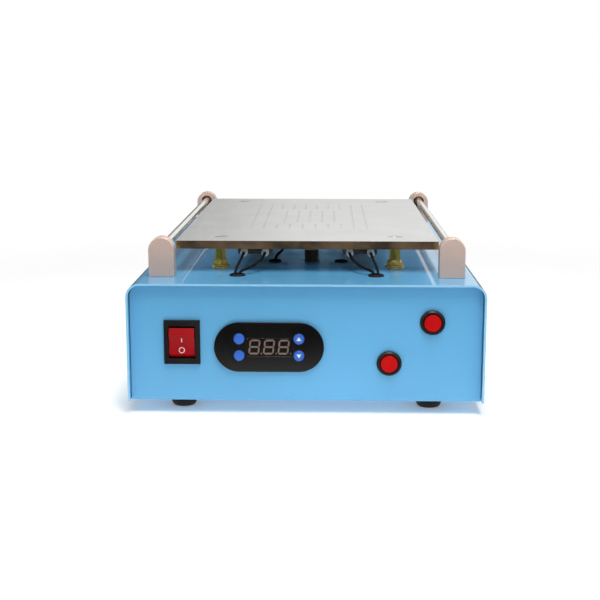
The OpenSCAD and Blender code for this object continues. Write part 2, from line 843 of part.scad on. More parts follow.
module zone_valves() {
  color(black) for (y = zone_y) translate([zone_x, y, floor_z]) {
    translate([0, 0, valve_h / 2]) cube([valve_w, valve_w, valve_h], center = true);
    translate([0, 0, valve_h]) cylinder(d = hose_d, h = valve_cap_h);
    translate([0, 0, valve_h]) cylinder(d = barb_d, h = valve_cap_h + barb_l);
    translate([valve_w / 2, 0, valve_port_z]) rotate([0, 90, 0]) cylinder(d = port_d, h = port_l);
  }
}

// Diaphragm pump: motor, head with two ports, rubber mounts

module pump_motor() {
  boss_d = motor_d / 3;
  color(steel) {
    along_y(pump_x, pump_y, motor_z, motor_d, motor_l);
    along_y(pump_x, pump_y + motor_l, motor_z, boss_d, boss_d / 4);
  }
}

module pump_head() {
  foot_z = floor_z + mount_h;
  color(black) {
    translate([pump_x - head_w / 2, head_y, foot_z]) cube([head_w, head_l, motor_z + head_w / 2 - foot_z]);
    translate([pump_x - head_w / 2, head_y, foot_z]) cube([head_w, head_l + mount_pitch, foot_t]);
    for (y = pump_port_y) translate([head_port_x, y, motor_z])
      rotate([0, 90, 0]) cylinder(d = port_d, h = port_l + cut);
  }
}

module pump_mounts() {
  color(rubber) for (x = [-1, 1], y = [0, 1])
    translate([pump_x + x * mount_pitch / 2, head_y + head_l / 2 + y * mount_pitch, floor_z])
      cylinder(d = mount_d, h = mount_h);
}

// Routes of the hoses: from each valve's side port to the two ports of the pump's head
hose_straight = 4;
pump_port_y = [for (s = [-1, 1]) head_y + (head_l + s * port_gap) / 2];
front_hose_shares = [[0.43, 0.063, 0.03], [0.61, 0.205, 0.045], [0.61, 0.473, 0.26],
                     [0.61, 0.741, 0.59], [0.52, 0.893, 0.8], [0.7, 0.973, 0.9]];
rear_hose_shares = [[0.28, 0.163, 0.03], [0.17, 0.465, 0.32], [0.31, 0.814, 0.75], [0.7, 0.977, 0.9]];
function hose_route(n, shares) = let (
  start = [port_x, zone_y[n], port_z],
  end = [head_port_x, pump_port_y[n], motor_z],
  off = start + [hose_straight, 0, 0],
  into = end - [hose_straight, 0, 0])
  concat([start, off], between(off, into, shares), [into, end]);

module pump_hoses() {
  color(rubber) {
    swept_tube(smooth(hose_route(0, front_hose_shares), 2), pump_hose_d, lead_sides);
    swept_tube(smooth(hose_route(1, rear_hose_shares), 2), pump_hose_d, lead_sides);
  }
}

// Wire guides

module post_places() {
  for (sx = [-1, 1], sy = [-1, 1]) translate([sx * rod_x, sy * (post_in_y + post_t / 2), 0]) children();
}

module post_outline() {
  round_r = post_w / 2;
  translate([-round_r, deck_z]) square([post_w, post_h - round_r]);
  translate([0, deck_z + post_h - round_r]) circle(round_r);
}

// A post with its blind bore opening towards the plate, side -1 at the front and 1 at the rear
module post(side_x, side_y) {
  color(champagne) translate([side_x * rod_x, 0, 0]) difference() {
    upright(side_y > 0 ? post_in_y : -post_out_y, post_t)
      post_outline();
    along_y(0, side_y > 0 ? post_in_y - cut : -post_in_y - bore_depth,
            rod_z, bush_d, bore_depth + cut);
    for (s = [-1, 1]) translate([s * post_screw_dx, side_y * (post_in_y + post_t / 2), deck_z - cut])
      cylinder(d = post_screw_d + slip * 2, h = post_screw_l + cut);
  }
}

module front_left_post() { post(-1, -1); }
module front_right_post() { post(1, -1); }
module rear_left_post() { post(-1, 1); }
module rear_right_post() { post(1, 1); }

module post_screws() {
  color(steel) post_places() for (s = [-1, 1]) translate([s * post_screw_dx, 0, roof_z])
    screw_up(post_screw_d, post_screw_l + sheet_t - play, post_head_d, post_head_h);
}

module rod_bushes() {
  color(bronze) for (sx = [-1, 1], sy = [-1, 1]) difference() {
    along_y(sx * rod_x, sy > 0 ? post_in_y + bush_sink : -post_in_y - bush_sink - bush_l,
            rod_z, bush_d - slip, bush_l);
    along_y(sx * rod_x, sy > 0 ? post_in_y - cut : -post_in_y - bore_depth,
            rod_z, rod_d + slip * 2, bore_depth + cut);
  }
}

module rod(side) {
  half = post_in_y + bore_depth - play;
  color(steel) translate([side * rod_x, 0, rod_z]) {
    along_y(0, rod_chamfer - half, 0, rod_d, 2 * half - 2 * rod_chamfer);
    for (e = [-1, 1]) translate([0, e * half, 0]) rotate([e * 90, 0, 0])
      cylinder(d1 = rod_d - 2 * rod_chamfer, d2 = rod_d, h = rod_chamfer);
  }
}

module left_rod() { rod(-1); }
module right_rod() { rod(1); }

// Power switch

module switch_housing() {
  well_w = rocker_w + 2 * rocker_side_gap;
  well_h = rocker_h + 2 * rocker_end_gap;
  well_d = rocker_h / 2;
  rim_slope = rim_t / 3;
  pivot_bore_l = rocker_w + 2 * (pivot_l + slip + rocker_side_gap);
  color(black) translate([switch_x, -panel_y, switch_z]) difference() {
    union() {
      upright(-rim_t + rim_slope, rim_t - rim_slope) square([rim_w, rim_h], center = true);
      upright(-rim_t, rim_slope) square([rim_w - rim_slope, rim_h - rim_slope], center = true);
      upright(0, switch_body_d) square([switch_body_w, switch_body_h], center = true);
    }
    upright(-rim_t - cut, well_d + cut) square([well_w, well_h], center = true);
    translate([0, pivot_depth - rim_t, 0]) rotate([0, 90, 0])
      cylinder(d = pivot_d + slip * 2, h = pivot_bore_l, center = true);
  }
}

module power_rocker() {
  half = rocker_h / 2;
  color(red) translate([switch_x, pivot_y, switch_z]) rotate([rocker_swing / 2, 0, 0]) {
    rotate([90, 0, -90]) linear_extrude(rocker_w, center = true)
      polygon([for (s = rocker_shares) [s[1] * half, s[0] * half]]);
    rotate([0, 90, 0]) cylinder(d = pivot_d, h = rocker_w + 2 * pivot_l, center = true);
  }
}

// Thermostat

module thermostat_fascia() {
  color(black) translate([fascia_x, face_y, fascia_z]) difference() {
    upright(0, fascia_t) stadium(fascia_w, fascia_h);
    upright(-cut, fascia_t + 2 * cut) {
      square([window_w, window_h], center = true);
      for (p = key_places) translate(p) circle(d = key_d + 2 * play);
    }
  }
}

module thermostat_body() {
  color(black) translate([fascia_x, -panel_y, fascia_z]) difference() {
    upright(0, module_d) square([module_w, module_h], center = true);
    upright(-cut, key_room + cut)
      square([module_w - 2 * module_wall, module_h - 2 * module_wall], center = true);
  }
}

module display_window() {
  color([0.10, 0.08, 0.08, 0.5]) translate([fascia_x, face_y, fascia_z])
    upright(0, window_t) square([window_w - slip * 2, window_h - slip * 2], center = true);
}

// One bar of a digit, from p to q, with pointed ends and the digit's slant
function bar(p, q, w) = let (u = unit(q - p), n = [-u[1], u[0]] * w / 2, e = u * w / 2)
  [p, p + e + n, q - e + n, q, q - e - n, p + e - n];
function slanted(points) = [for (p = points) [p[0] + digit_slant * p[1], p[1]]];

module digit() {
  w = (digit_w - segment_w) / 2;
  h = (digit_h - segment_w) / 2;
  ends = [[[-w, h], [w, h]], [[-w, 0], [w, 0]], [[-w, -h], [w, -h]],
          [[-w, 0], [-w, h]], [[w, 0], [w, h]], [[-w, -h], [-w, 0]], [[w, -h], [w, 0]]];
  for (e = ends) {
    u = unit(e[1] - e[0]) * segment_t / 2;
    polygon(slanted(bar(e[0] + u, e[1] - u, segment_w)));
  }
  translate([w + segment_w * 1.4, -h]) circle(d = point_d);
}

module display_digits() {
  base_w = window_w - module_wall;
  base_y = face_y + window_t + slip + segment_t;
  color([0.32, 0.27, 0.25]) translate([fascia_x, 0, fascia_z]) {
    upright(base_y, key_room - panel_y - base_y)
      square([base_w, window_h - module_wall], center = true);
    for (i = [0 : digits - 1]) translate([(i - (digits - 1) / 2) * digit_pitch, 0, 0])
      upright(base_y - segment_t, segment_t + slip) digit();
  }
}

// A key with a bevelled face, and a flange that keeps it behind the fascia
module key(n) {
  p = key_places[n];
  color(blue) translate([fascia_x + p[0], face_y - key_proud, fascia_z + p[1]]) rotate([-90, 0, 0]) {
    cylinder(d1 = key_d - key_proud, d2 = key_d, h = key_proud);
    translate([0, 0, key_proud]) cylinder(d = key_d, h = fascia_t + slip);
    translate([0, 0, key_proud + fascia_t + slip]) cylinder(d = key_flange_d, h = key_flange_t);
  }
}

module set_key() { key(0); }
module mode_key() { key(1); }
module up_key() { key(2); }
module down_key() { key(3); }

// Push-buttons

module at_button(n) {
  translate([button_places[n][0], -panel_y, button_places[n][1]])
    rotate([-90, 0, 0]) children();
}

module button_bezels() {
  well = cap_l + cap_travel + play - cap_proud - bezel_t;
  color(black) for (n = [0, 1]) at_button(n) difference() {
    union() {
      translate([0, 0, -bezel_t]) cylinder(d1 = bezel_d - 2 * bezel_slope, d2 = bezel_d, h = bezel_slope);
      translate([0, 0, bezel_slope - bezel_t]) cylinder(d = bezel_d, h = bezel_t - bezel_slope);
      cylinder(d = barrel_d, h = barrel_l);
    }
    translate([0, 0, -bezel_t - cut]) cylinder(d = cap_d + 2 * play, h = bezel_t + well + cut);
  }
}

module button_nuts() {
  color(black) for (n = [0, 1]) at_button(n) translate([0, 0, sheet_t]) difference() {
    hex_prism(button_nut_af, button_nut_t);
    translate([0, 0, -cut]) cylinder(d = barrel_d + slip * 2, h = button_nut_t + 2 * cut);
  }
}

module button_cap(n) {
  color(red) at_button(n) translate([0, 0, -bezel_t - cap_proud]) {
    cylinder(d1 = cap_d - 2 * cap_round, d2 = cap_d, h = cap_round);
    translate([0, 0, cap_round]) cylinder(d = cap_d, h = cap_l - cap_round);
  }
}

module button_cap_1() { button_cap(0); }
module button_cap_2() { button_cap(1); }

// Boards and terminals

module board_places() {
  translate([board_x, board_y, floor_z])
    four_corners(board_w / 2 - spacer_inset, board_d / 2 - spacer_inset) children();
}

module board_spacers() {
  color(silver) board_places() cylinder(d = spacer_d, h = spacer_h);
}

module power_board() {
  cap_r = core_w / 6;
  board_z = floor_z + spacer_h;
  color([0.10, 0.35, 0.20]) {
    translate([board_x, board_y, board_z + board_t / 2])
      cube([board_w, board_d, board_t], center = true);
    for (s = [-1, 1])
      translate([board_x + s * cap_r * 2, board_y + board_d / 3, board_z + board_t])
        cylinder(r = cap_r, h = core_h * 0.6);
  }
}

module transformer() {
  base_z = floor_z + spacer_h + board_t;
  bobbin = core_w / 4;
  color([0.75, 0.70, 0.35]) translate([board_x, board_y - board_d / 5, base_z]) {
    translate([0, 0, core_h / 2]) cube([core_w, core_d * 0.5, core_h], center = true);
    translate([0, 0, core_h / 2]) cube([core_w - bobbin, core_d, core_h - bobbin], center = true);
  }
}

module terminal_block() {
  screw_hole_d = block_way * 0.4;
  color(ceramic) translate([block_x, block_y, floor_z]) difference() {
    translate([0, 0, block_h / 2]) cube([block_w, block_d, block_h], center = true);
    for (i = [0 : block_n - 2]) translate([(i + 1 - block_n / 2) * block_way, 0, block_h])
      cube([block_way / 6, block_d + cut, block_h / 2], center = true);
    for (i = [0 : block_n - 1], s = [-1, 1])
      translate([(i + 0.5 - block_n / 2) * block_way, s * block_d / 3, block_h * 0.6])
        cylinder(d = screw_hole_d, h = block_h);
  }
}

// Power inlet

module socket_outline() {
  w = socket_w / 2;
  h = socket_h / 2;
  c = socket_corner;
  polygon([[-w, -h], [w, -h], [w, h - c], [w - c, h], [c - w, h], [-w, h - c]]);
}

module power_inlet() {
  color(black) translate([inlet_x, panel_y, inlet_z]) difference() {
    union() {
      upright(0, inlet_flange_t) stadium(inlet_flange_w, inlet_flange_h);
      upright(inlet_flange_t - inlet_d, inlet_d - slip) square([inlet_w, inlet_h], center = true);
    }
    upright(inlet_flange_t - socket_d, socket_d + cut) socket_outline();
    for (s = [-1, 1]) upright(-cut, inlet_flange_t + 2 * cut)
      translate([s * inlet_screw_dx, 0]) circle(d = inlet_screw_d + slip * 2);
  }
}

module inlet_pins() {
  base_y = panel_y + inlet_flange_t - socket_d;
  color(steel) for (p = [[-pin_dx, -pin_dz], [0, pin_dz], [pin_dx, -pin_dz]])
    translate([inlet_x + p[0], base_y + pin_l / 2, inlet_z + p[1]]) cube([pin_w, pin_l, pin_h], center = true);
}

module inlet_screws() {
  color(steel) for (s = [-1, 1])
    translate([inlet_x + s * inlet_screw_dx, panel_y + inlet_flange_t, inlet_z])
      rotate([90, 0, 0]) screw_up(inlet_screw_d, inlet_screw_l, inlet_head_d, inlet_head_h);
}

chassis();
top_cover();
cover_screws();
feet();
foot_screws();
heating_plate();
plate_screws();
standoffs();
flange_nuts();
vacuum_manifold();
manifold_seal();
manifold_screws();
heaters();
heater_clamps();
heater_terminals();
heater_leads();
lead_grommets();
temperature_probe();
probe_lead();
vacuum_fittings();
vacuum_hoses();
zone_valves();
pump_motor();
pump_head();
pump_mounts();
pump_hoses();
front_left_post();
front_right_post();
rear_left_post();
rear_right_post();
post_screws();
rod_bushes();
left_rod();
right_rod();
switch_housing();
power_rocker();
thermostat_fascia();
thermostat_body();
display_window();
display_digits();
set_key();
mode_key();
up_key();
down_key();
button_bezels();
button_nuts();
button_cap_1();
button_cap_2();
power_board();
transformer();
board_spacers();
terminal_block();
power_inlet();
inlet_pins();
inlet_screws();
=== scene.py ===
import math

import bmesh
import bpy
from mathutils import Matrix, Vector


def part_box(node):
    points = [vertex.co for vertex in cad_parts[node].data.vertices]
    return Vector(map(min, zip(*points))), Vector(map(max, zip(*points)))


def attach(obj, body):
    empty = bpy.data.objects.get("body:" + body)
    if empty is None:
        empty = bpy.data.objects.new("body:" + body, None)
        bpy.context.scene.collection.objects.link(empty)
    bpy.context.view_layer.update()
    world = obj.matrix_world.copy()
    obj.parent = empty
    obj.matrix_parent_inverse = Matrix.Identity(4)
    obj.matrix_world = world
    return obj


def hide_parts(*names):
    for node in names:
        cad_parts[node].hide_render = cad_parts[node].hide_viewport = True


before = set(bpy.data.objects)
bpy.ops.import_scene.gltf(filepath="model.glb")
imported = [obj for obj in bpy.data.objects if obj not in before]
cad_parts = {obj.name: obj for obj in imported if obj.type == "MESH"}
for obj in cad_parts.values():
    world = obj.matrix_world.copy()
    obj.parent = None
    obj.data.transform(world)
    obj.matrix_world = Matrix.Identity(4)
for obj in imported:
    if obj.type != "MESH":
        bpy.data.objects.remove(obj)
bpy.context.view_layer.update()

mm = 0.001

# Studio: a pale table that runs out into a white surround, lit by a soft lamp on each side, a
# long one overhead and a weak fill under the plate. The table's sheet is matt card.
scene = bpy.context.scene
scene.view_settings.view_transform = "Standard"
white, black = (1, 1, 1), (0, 0, 0)
surround_level = 0.32
room_level, ceiling_level, ceiling_span = 0.045, 0.7, (0.12, 0.42)
backdrop_dull, backdrop_pale, backdrop_span = 0.12, 0.88, (-0.4, 0.1)
dull_middle, dull_span = -0.35, (0.25, 0.32)
table_shade, table_reach, table_fade = (0.90, 0.90, 0.895), 6.0, (0.28, 0.8)
table_mirrored, mirrored_span = 0.65, (0.25, 0.45)
table_lift, table_bounce = 0.18, 0.5


def wire(tree, kind, inputs=None, **settings):
    """Adds a node to a tree. inputs gives the sockets to join to it, or plain values, with a
    colour as its red, green and blue."""
    node = tree.nodes.new(kind)
    for name, value in settings.items():
        setattr(node, name, value)
    for name, value in (inputs or {}).items():
        socket = node.inputs[name]
        if isinstance(value, bpy.types.NodeSocket):
            tree.links.new(value, socket)
        else:
            socket.default_value = (*value, 1) if socket.type == "RGBA" else value
    return node


def result(tree, kind, inputs=None, **settings):
    """Adds a node, for its first output."""
    return wire(tree, kind, inputs, **settings).outputs[0]


def math_node(tree, operation, a, b=0.0):
    return result(tree, "ShaderNodeMath", {0: a, 1: b}, operation=operation)


def add(tree, a, b):
    return math_node(tree, "ADD", a, b)


def times(tree, a, b):
    return math_node(tree, "MULTIPLY", a, b)


def mixed(tree, share, a, b, kind="RGBA"):
    """a, with this share of b in it."""
    mix = wire(tree, "ShaderNodeMix", {"Factor": share, "A": a, "B": b}, data_type=kind)
    return mix.outputs["Result"]


def scaled(tree, value, low, high, start=0.3, finish=0.7, way="LINEAR"):
    """A value that runs from low to high between start and finish, which suit a noise."""
    return result(tree, "ShaderNodeMapRange", {
        "Value": value, "From Min": start, "From Max": finish, "To Min": low, "To Max": high},
        interpolation_type=way)


def eased(tree, value, start, finish, low, high):
    """A value that turns smoothly from low to high between start and finish."""
    return scaled(tree, value, low, high, start, finish, "SMOOTHSTEP")


def own_place(tree):
    return wire(tree, "ShaderNodeTexCoord").outputs["Object"]


def noise(tree, scale, detail=3.0, place=None):
    return result(tree, "ShaderNodeTexNoise", {
        "Vector": place or own_place(tree), "Scale": scale, "Detail": detail})


# What looks at the surround or the table: the camera sees both white, and reflections see a pale
# backdrop with a dull patch behind the machine, and in front of it a dark room with a pale
# ceiling. The rest gives the light.
def as_seen(tree, lit, reflected):
    ray = wire(tree, "ShaderNodeLightPath").outputs
    through = math_node(tree, "MAXIMUM", ray["Is Camera Ray"], ray["Is Transmission Ray"])
    shine = mixed(tree, ray["Is Glossy Ray"], lit, reflected, "FLOAT")
    return mixed(tree, through, shine, 1.0, "FLOAT")


scene.world = bpy.data.worlds.new("white_surround")
scene.world.use_nodes = True
sky = scene.world.node_tree
sky.nodes.clear()
toward = wire(sky, "ShaderNodeSeparateXYZ", {0: wire(sky, "ShaderNodeTexCoord").outputs["Generated"]}).outputs
room = eased(sky, toward[2], *ceiling_span, room_level, ceiling_level)
beside_patch = math_node(sky, "ABSOLUTE", add(sky, toward[0], -dull_middle))
backdrop = eased(sky, beside_patch, *dull_span, backdrop_dull, backdrop_pale)
around = eased(sky, toward[1], *backdrop_span, room, backdrop)
glow = result(sky, "ShaderNodeBackground", {
    "Color": white, "Strength": as_seen(sky, surround_level, around)})
wire(sky, "ShaderNodeOutputWorld", {"Surface": glow})

card = bpy.data.materials.new("pale_card")
card.use_nodes = True
tree = card.node_tree
tree.nodes.clear()
seen = wire(tree, "ShaderNodeLightPath").outputs
fibres = result(tree, "ShaderNodeBump", {
    "Height": noise(tree, 900.0), "Strength": 0.05, "Distance": 0.1 * mm})
shade = mixed(tree, seen["Is Glossy Ray"], table_shade, black)
matt = result(tree, "ShaderNodeBsdfDiffuse", {"Color": shade, "Normal": fibres})
reach = wire(tree, "ShaderNodeVectorMath", {0: own_place(tree)}, operation="LENGTH").outputs["Value"]
mirrored = eased(tree, reach, *mirrored_span, table_mirrored, room_level)
lift = 0.0
for ray, level in (
    ("Is Camera Ray", table_lift), ("Is Diffuse Ray", table_bounce), ("Is Glossy Ray", mirrored),
):
    lift = add(tree, lift, times(tree, seen[ray], level))
lifted = result(tree, "ShaderNodeEmission", {"Color": white, "Strength": lift})
near = result(tree, "ShaderNodeAddShader", {0: matt, 1: lifted})
far = result(tree, "ShaderNodeEmission", {
    "Color": white, "Strength": as_seen(tree, surround_level, room_level)})
faded = eased(tree, reach, *table_fade, 0, 1)
from_above = result(tree, "ShaderNodeMixShader", {0: faded, 1: near, 2: far})
from_below = result(tree, "ShaderNodeBsdfTransparent")
below = wire(tree, "ShaderNodeNewGeometry").outputs["Backfacing"]
wire(tree, "ShaderNodeOutputMaterial", {
    "Surface": result(tree, "ShaderNodeMixShader", {0: below, 1: from_above, 2: from_below})})


def circle(radius, sides=36, start=0.0):
    angles = [start + 2 * math.pi * k / sides for k in range(sides)]
    return [(radius * math.cos(a), radius * math.sin(a)) for a in angles]


def link(name, data):
    """A new object in the scene."""
    piece = bpy.data.objects.new(name, data)
    scene.collection.objects.link(piece)
    return piece


sheet = bpy.data.meshes.new("table_sheet")
sheet.from_pydata([(x, y, 0) for x, y in circle(table_reach, 64)], [], [list(range(64))])
sheet.materials.append(card)
table = link("table_sheet", sheet)

plate_low, plate_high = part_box("heating_plate")
lamps_aim = Vector((0, 0, 0.06))
for name, place, width, length, watts in (
    ("right_softbox", (0.62, -0.85, 0.35), 0.8, 0.8, 1.1),
    ("left_softbox", (-1.3, -0.9, 0.9), 1.0, 1.0, 0.8),
    ("top_softbox", (0.1, -0.54, 1.5), 0.5, 1.3, 23.7),
    ("fill_under_plate", (0, 0.003, plate_low.z - 8.7 * mm), 0.19, 0.29, 0.065),
):
    lamp = bpy.data.lights.new(name, "AREA")
    lamp.shape, lamp.size, lamp.size_y, lamp.energy = "RECTANGLE", width, length, watts
    softbox = link(name, lamp)
    softbox.location = place
    softbox.rotation_mode = "QUATERNION"
    softbox.rotation_quaternion = (lamps_aim - Vector(place)).to_track_quat("-Z", "Y")
    softbox.visible_camera, softbox.visible_glossy = False, name != "fill_under_plate"

# Camera: a little right of the machine's middle and above its plate, at the distance
# where the rear rods close in as much as they do in the picture.
dips, leans, turns = 10.82, -0.05, 1.34
camera = link("camera", bpy.data.cameras.new("camera"))
camera.data.lens = 71.46
camera.data.clip_start, camera.data.clip_end = 0.05, 50
camera.location = (15.1 * mm, -1020.3 * mm, 241.3 * mm)
camera.rotation_euler = [math.radians(a) for a in (90 - dips, leans, turns)]
scene.camera = camera

# Case: a folded steel tray with the front and rear panels, and a folded cover over it,
# both in glossy light blue powder paint, with a painted highlight in lighter blue on the edges.
paint_blue = (0.116, 0.400, 0.68)
# The lighter blue of the painted highlight along the case's edges.
paint_edge_highlight = (0.27, 0.56, 0.78)


def new_tree(name, kind, inputs, outputs):
    """A node tree with named inputs and outputs, and its two end nodes."""
    tree = bpy.data.node_groups.new(name, kind)
    for side, sockets in (("INPUT", inputs), ("OUTPUT", outputs)):
        for label, socket in sockets.items():
            tree.interface.new_socket(label, in_out=side, socket_type="NodeSocket" + socket)
    return tree, tree.nodes.new("NodeGroupInput").outputs, tree.nodes.new("NodeGroupOutput")


def ends(tree, end, results):
    for label, socket in results.items():
        tree.links.new(socket, end.inputs[label])


def drawn_out(tree, scales):
    """A point's place on its piece, scaled along each direction."""
    return result(tree, "ShaderNodeVectorMath", {0: own_place(tree), 1: scales}, operation="MULTIPLY")


# Finger smears and fine dust: patches of duller surface, broken by short wiping strokes.
smears, given, end = new_tree("smears", "ShaderNodeTree", {
    "Patch scale": "Float", "Amount": "Float"}, {"Dull": "Float"})
patches = scaled(smears, noise(smears, given["Patch scale"], 4.0), 0, 1, 0.48, 0.72)
strokes = scaled(smears, noise(smears, 160.0, place=drawn_out(smears, (1.0, 0.35, 4.0))), 0.3, 1)
ends(smears, end, {"Dull": times(smears, times(smears, patches, strokes), given["Amount"])})


def smeared(tree, rough, patch_scale, amount):
    """A roughness with smears on it."""
    return add(tree, rough, result(tree, "ShaderNodeGroup", {
        "Patch scale": patch_scale, "Amount": amount}, node_tree=smears))


def new_finish(name, plain):
    """A material whose shader has these plain values."""
    finish = bpy.data.materials.new(name)
    finish.use_nodes = True
    shader = finish.node_tree.nodes["Principled BSDF"]
    for label, value in plain.items():
        shader.inputs[label].default_value = value
    return finish, finish.node_tree, shader


def dress(tree, shader, colour, roughness, height, relief, strength=0.5):
    """Joins a finish's colour, roughness and height to its shader. relief is in millimetres."""
    tree.links.new(colour, shader.inputs["Base Color"])
    tree.links.new(roughness, shader.inputs["Roughness"])
    bump = result(tree, "ShaderNodeBump", {
        "Height": height, "Strength": strength, "Distance": relief * mm})
    tree.links.new(bump, shader.inputs["Normal"])


def powder_paint(name, colour, dulling):
    finish, tree, shader = new_finish(name, {
        "Coat Weight": 0.85, "Coat Roughness": 0.04, "Coat IOR": 1.4, "Specular IOR Level": 0.3})
    darker, lighter = ([min(1, c * share) for c in colour] for share in (0.96, 1.04))
    shades = mixed(tree, scaled(tree, noise(tree, 9.0, 2.0), 0, 1), darker, lighter)
    rough = smeared(tree, scaled(tree, noise(tree, 60.0), 0.285, 0.36), 11.0, dulling)
    dress(tree, shader, shades, rough, noise(tree, 420.0, 2.0), relief=0.01, strength=0.3)
    return finish


case_paint = powder_paint("case_paint", paint_blue, 0.05)
# The same paint in the lighter blue: a painted highlight on the edges.
edge_highlight_paint = powder_paint("case_paint_on_edges", paint_edge_highlight, 0.05)


def lay_finishes(piece, finishes):
    """Gives a piece its finishes, in place of any that it has."""
    piece.data.materials.clear()
    for finish in finishes:
        piece.data.materials.append(finish)


def plain_mesh(piece):
    """Applies a piece's modifiers."""
    graph = bpy.context.evaluated_depsgraph_get()
    mesh = bpy.data.meshes.new_from_object(
        piece.evaluated_get(graph), preserve_all_data_layers=True, depsgraph=graph)
    piece.modifiers.clear()
    piece.data = mesh
    mesh.name = piece.name
    return piece


def soften(piece, width, segments=2, angle=35, edge_slot=-1):
    """Rounds a piece's edges, and shades its curves smooth with flat faces left flat."""
    for face in piece.data.polygons:
        face.use_smooth = True
    bevel = piece.modifiers.new("edges", "BEVEL")
    bevel.width, bevel.segments = width * mm, segments
    bevel.limit_method, bevel.angle_limit = "ANGLE", math.radians(angle)
    bevel.material, bevel.use_clamp_overlap = edge_slot, True
    flat = piece.modifiers.new("flats", "WEIGHTED_NORMAL")
    flat.weight, flat.keep_sharp = 80, True
    return plain_mesh(piece)


def link_shape(name, shape):
    mesh = bpy.data.meshes.new(name)
    shape.to_mesh(mesh)
    shape.free()
    return link(name, mesh)


def fit(piece, slot, *nodes, body="housing", finishes=(), second=None):
    """Puts a finished piece on its body, in place of the CAD nodes it stands for. second picks
    the faces that take the second finish, by their centre in millimetres and their normal."""
    if finishes:
        lay_finishes(piece, finishes)
    for face in piece.data.polygons if second else ():
        if second(face.center / mm, face.normal):
            face.material_index = 1
    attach(piece, body)
    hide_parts(*nodes)


def softened_node(node, name, slot, finishes, width, body="housing", second=None, **edges):
    """A CAD node's shape, its loose triangles joined into whole faces and its edges rounded."""
    shape = bmesh.new()
    shape.from_mesh(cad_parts[node].data)
    bmesh.ops.remove_doubles(shape, verts=shape.verts, dist=0.002 * mm)
    bmesh.ops.dissolve_limit(shape, angle_limit=math.radians(0.6), verts=shape.verts, edges=shape.edges)
    piece = link_shape(name, shape)
    lay_finishes(piece, finishes)
    fit(soften(piece, width, **edges), slot, node, body=body, second=second)


cover_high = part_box("top_cover")[1]
cover_end_y = cover_high.y / mm - 1
# Both parts take the painted highlight on their rounded edges, and so do the cover's front and rear cut edges.
softened_node("chassis", "case_tray", "case_paint", [case_paint, edge_highlight_paint], 0.25, edge_slot=1)
softened_node("top_cover", "case_cover", "case_paint", [case_paint, edge_highlight_paint], 0.3, edge_slot=1,
              second=lambda centre, normal: abs(normal.y) > 0.5 and abs(centre.y) > cover_end_y)

# Screws: zinc plated steel with cross recesses. Pan heads hold the cover, feet, posts, power
# inlet and heater clamps, and countersunk heads sit just under the face of the plate.
plate_mid_y = (plate_low.y + plate_high.y) / 2
quarter = math.pi / 2
up, down, backward = (0, 0, 0), (math.pi, 0, 0), (-quarter, 0, 0)


def shaded(tree, colour, fine, broad, amount):
    """A colour made lighter and darker by two noises together."""
    swing = times(tree, scaled(tree, add(tree, fine, broad), -1, 1, 0.7, 1.3), amount)
    return result(tree, "ShaderNodeVectorMath", {
        0: colour, "Scale": add(tree, swing, 1.0)}, operation="SCALE")


# Turning and grinding lines: fine streaks of light and dark, drawn out along one direction.
outcome = {"Colour": "Color", "Roughness": "Float", "Height": "Float"}
tool_lines, given, end = new_tree("tool_lines", "ShaderNodeTree", {
    "Colour": "Color", "Lines per metre": "Vector", "Contrast": "Float", "Roughness": "Float"}, outcome)
streak = noise(tool_lines, 1.0, 4.0, drawn_out(tool_lines, given["Lines per metre"]))
ends(tool_lines, end, {
    "Colour": shaded(tool_lines, given["Colour"], streak, noise(tool_lines, 35.0, 2.0), given["Contrast"]),
    "Roughness": add(tool_lines, given["Roughness"], scaled(tool_lines, streak, -0.06, 0.08)),
    "Height": streak})


def machined(name, colour, lines, contrast, roughness, relief=0.01, metallic=1.0):
    """Bare or plated metal with tool lines."""
    finish, tree, shader = new_finish(name, {"Metallic": metallic})
    lined = wire(tree, "ShaderNodeGroup", {
        "Colour": colour, "Lines per metre": lines, "Contrast": contrast, "Roughness": roughness},
        node_tree=tool_lines).outputs
    dress(tree, shader, lined["Colour"], lined["Roughness"], lined["Height"], relief)
    return finish


screw_steel = machined("screw_steel", (0.56, 0.56, 0.55), (900, 900, 900), 0.18, 0.3)


def closed_piece(name, points, faces):
    shape = bmesh.new()
    verts = [shape.verts.new(p) for p in points]
    for face in faces:
        shape.faces.new([verts[k] for k in face])
    bmesh.ops.recalc_face_normals(shape, faces=shape.faces)
    return link_shape(name, shape)


def turned(name, profile, sides=32, ring=False):
    """A solid turned about Z from (radius, height) points in millimetres. A ring's profile is
    a closed loop."""
    points, faces, rows = [], [], []
    for radius, height in profile:
        count = sides if radius else 1
        rows.append([len(points) + k % count for k in range(sides)])
        points += [(x, y, height * mm) for x, y in circle(radius * mm, sides)[:count]]
    for low, high in zip(rows, rows[1:] + rows[:1] if ring else rows[1:]):
        for k in range(sides):
            face = list(dict.fromkeys([low[k], low[(k + 1) % sides], high[(k + 1) % sides], high[k]]))
            if len(face) > 2:
                faces.append(face)
    return closed_piece(name, points, faces)


def slab(name, outline, low, high, upright=False):
    """An outline made thick from low to high, in millimetres: along Z, or along Y if upright."""
    count = len(outline)
    points = [(u * mm, w * mm, v * mm) if upright else (u * mm, v * mm, w * mm)
              for w in (low, high) for u, v in outline]
    faces = [list(range(count)), list(range(count, 2 * count))]
    faces += [[k, (k + 1) % count, count + (k + 1) % count, count + k] for k in range(count)]
    return closed_piece(name, points, faces)


def carve(piece, tool, operation="DIFFERENCE"):
    """Cuts a tool's shape out of a piece, or joins it on."""
    cut = piece.modifiers.new("cut", "BOOLEAN")
    cut.object, cut.operation, cut.solver = tool, operation, "EXACT"
    plain_mesh(piece)
    bpy.data.objects.remove(tool)
    return piece


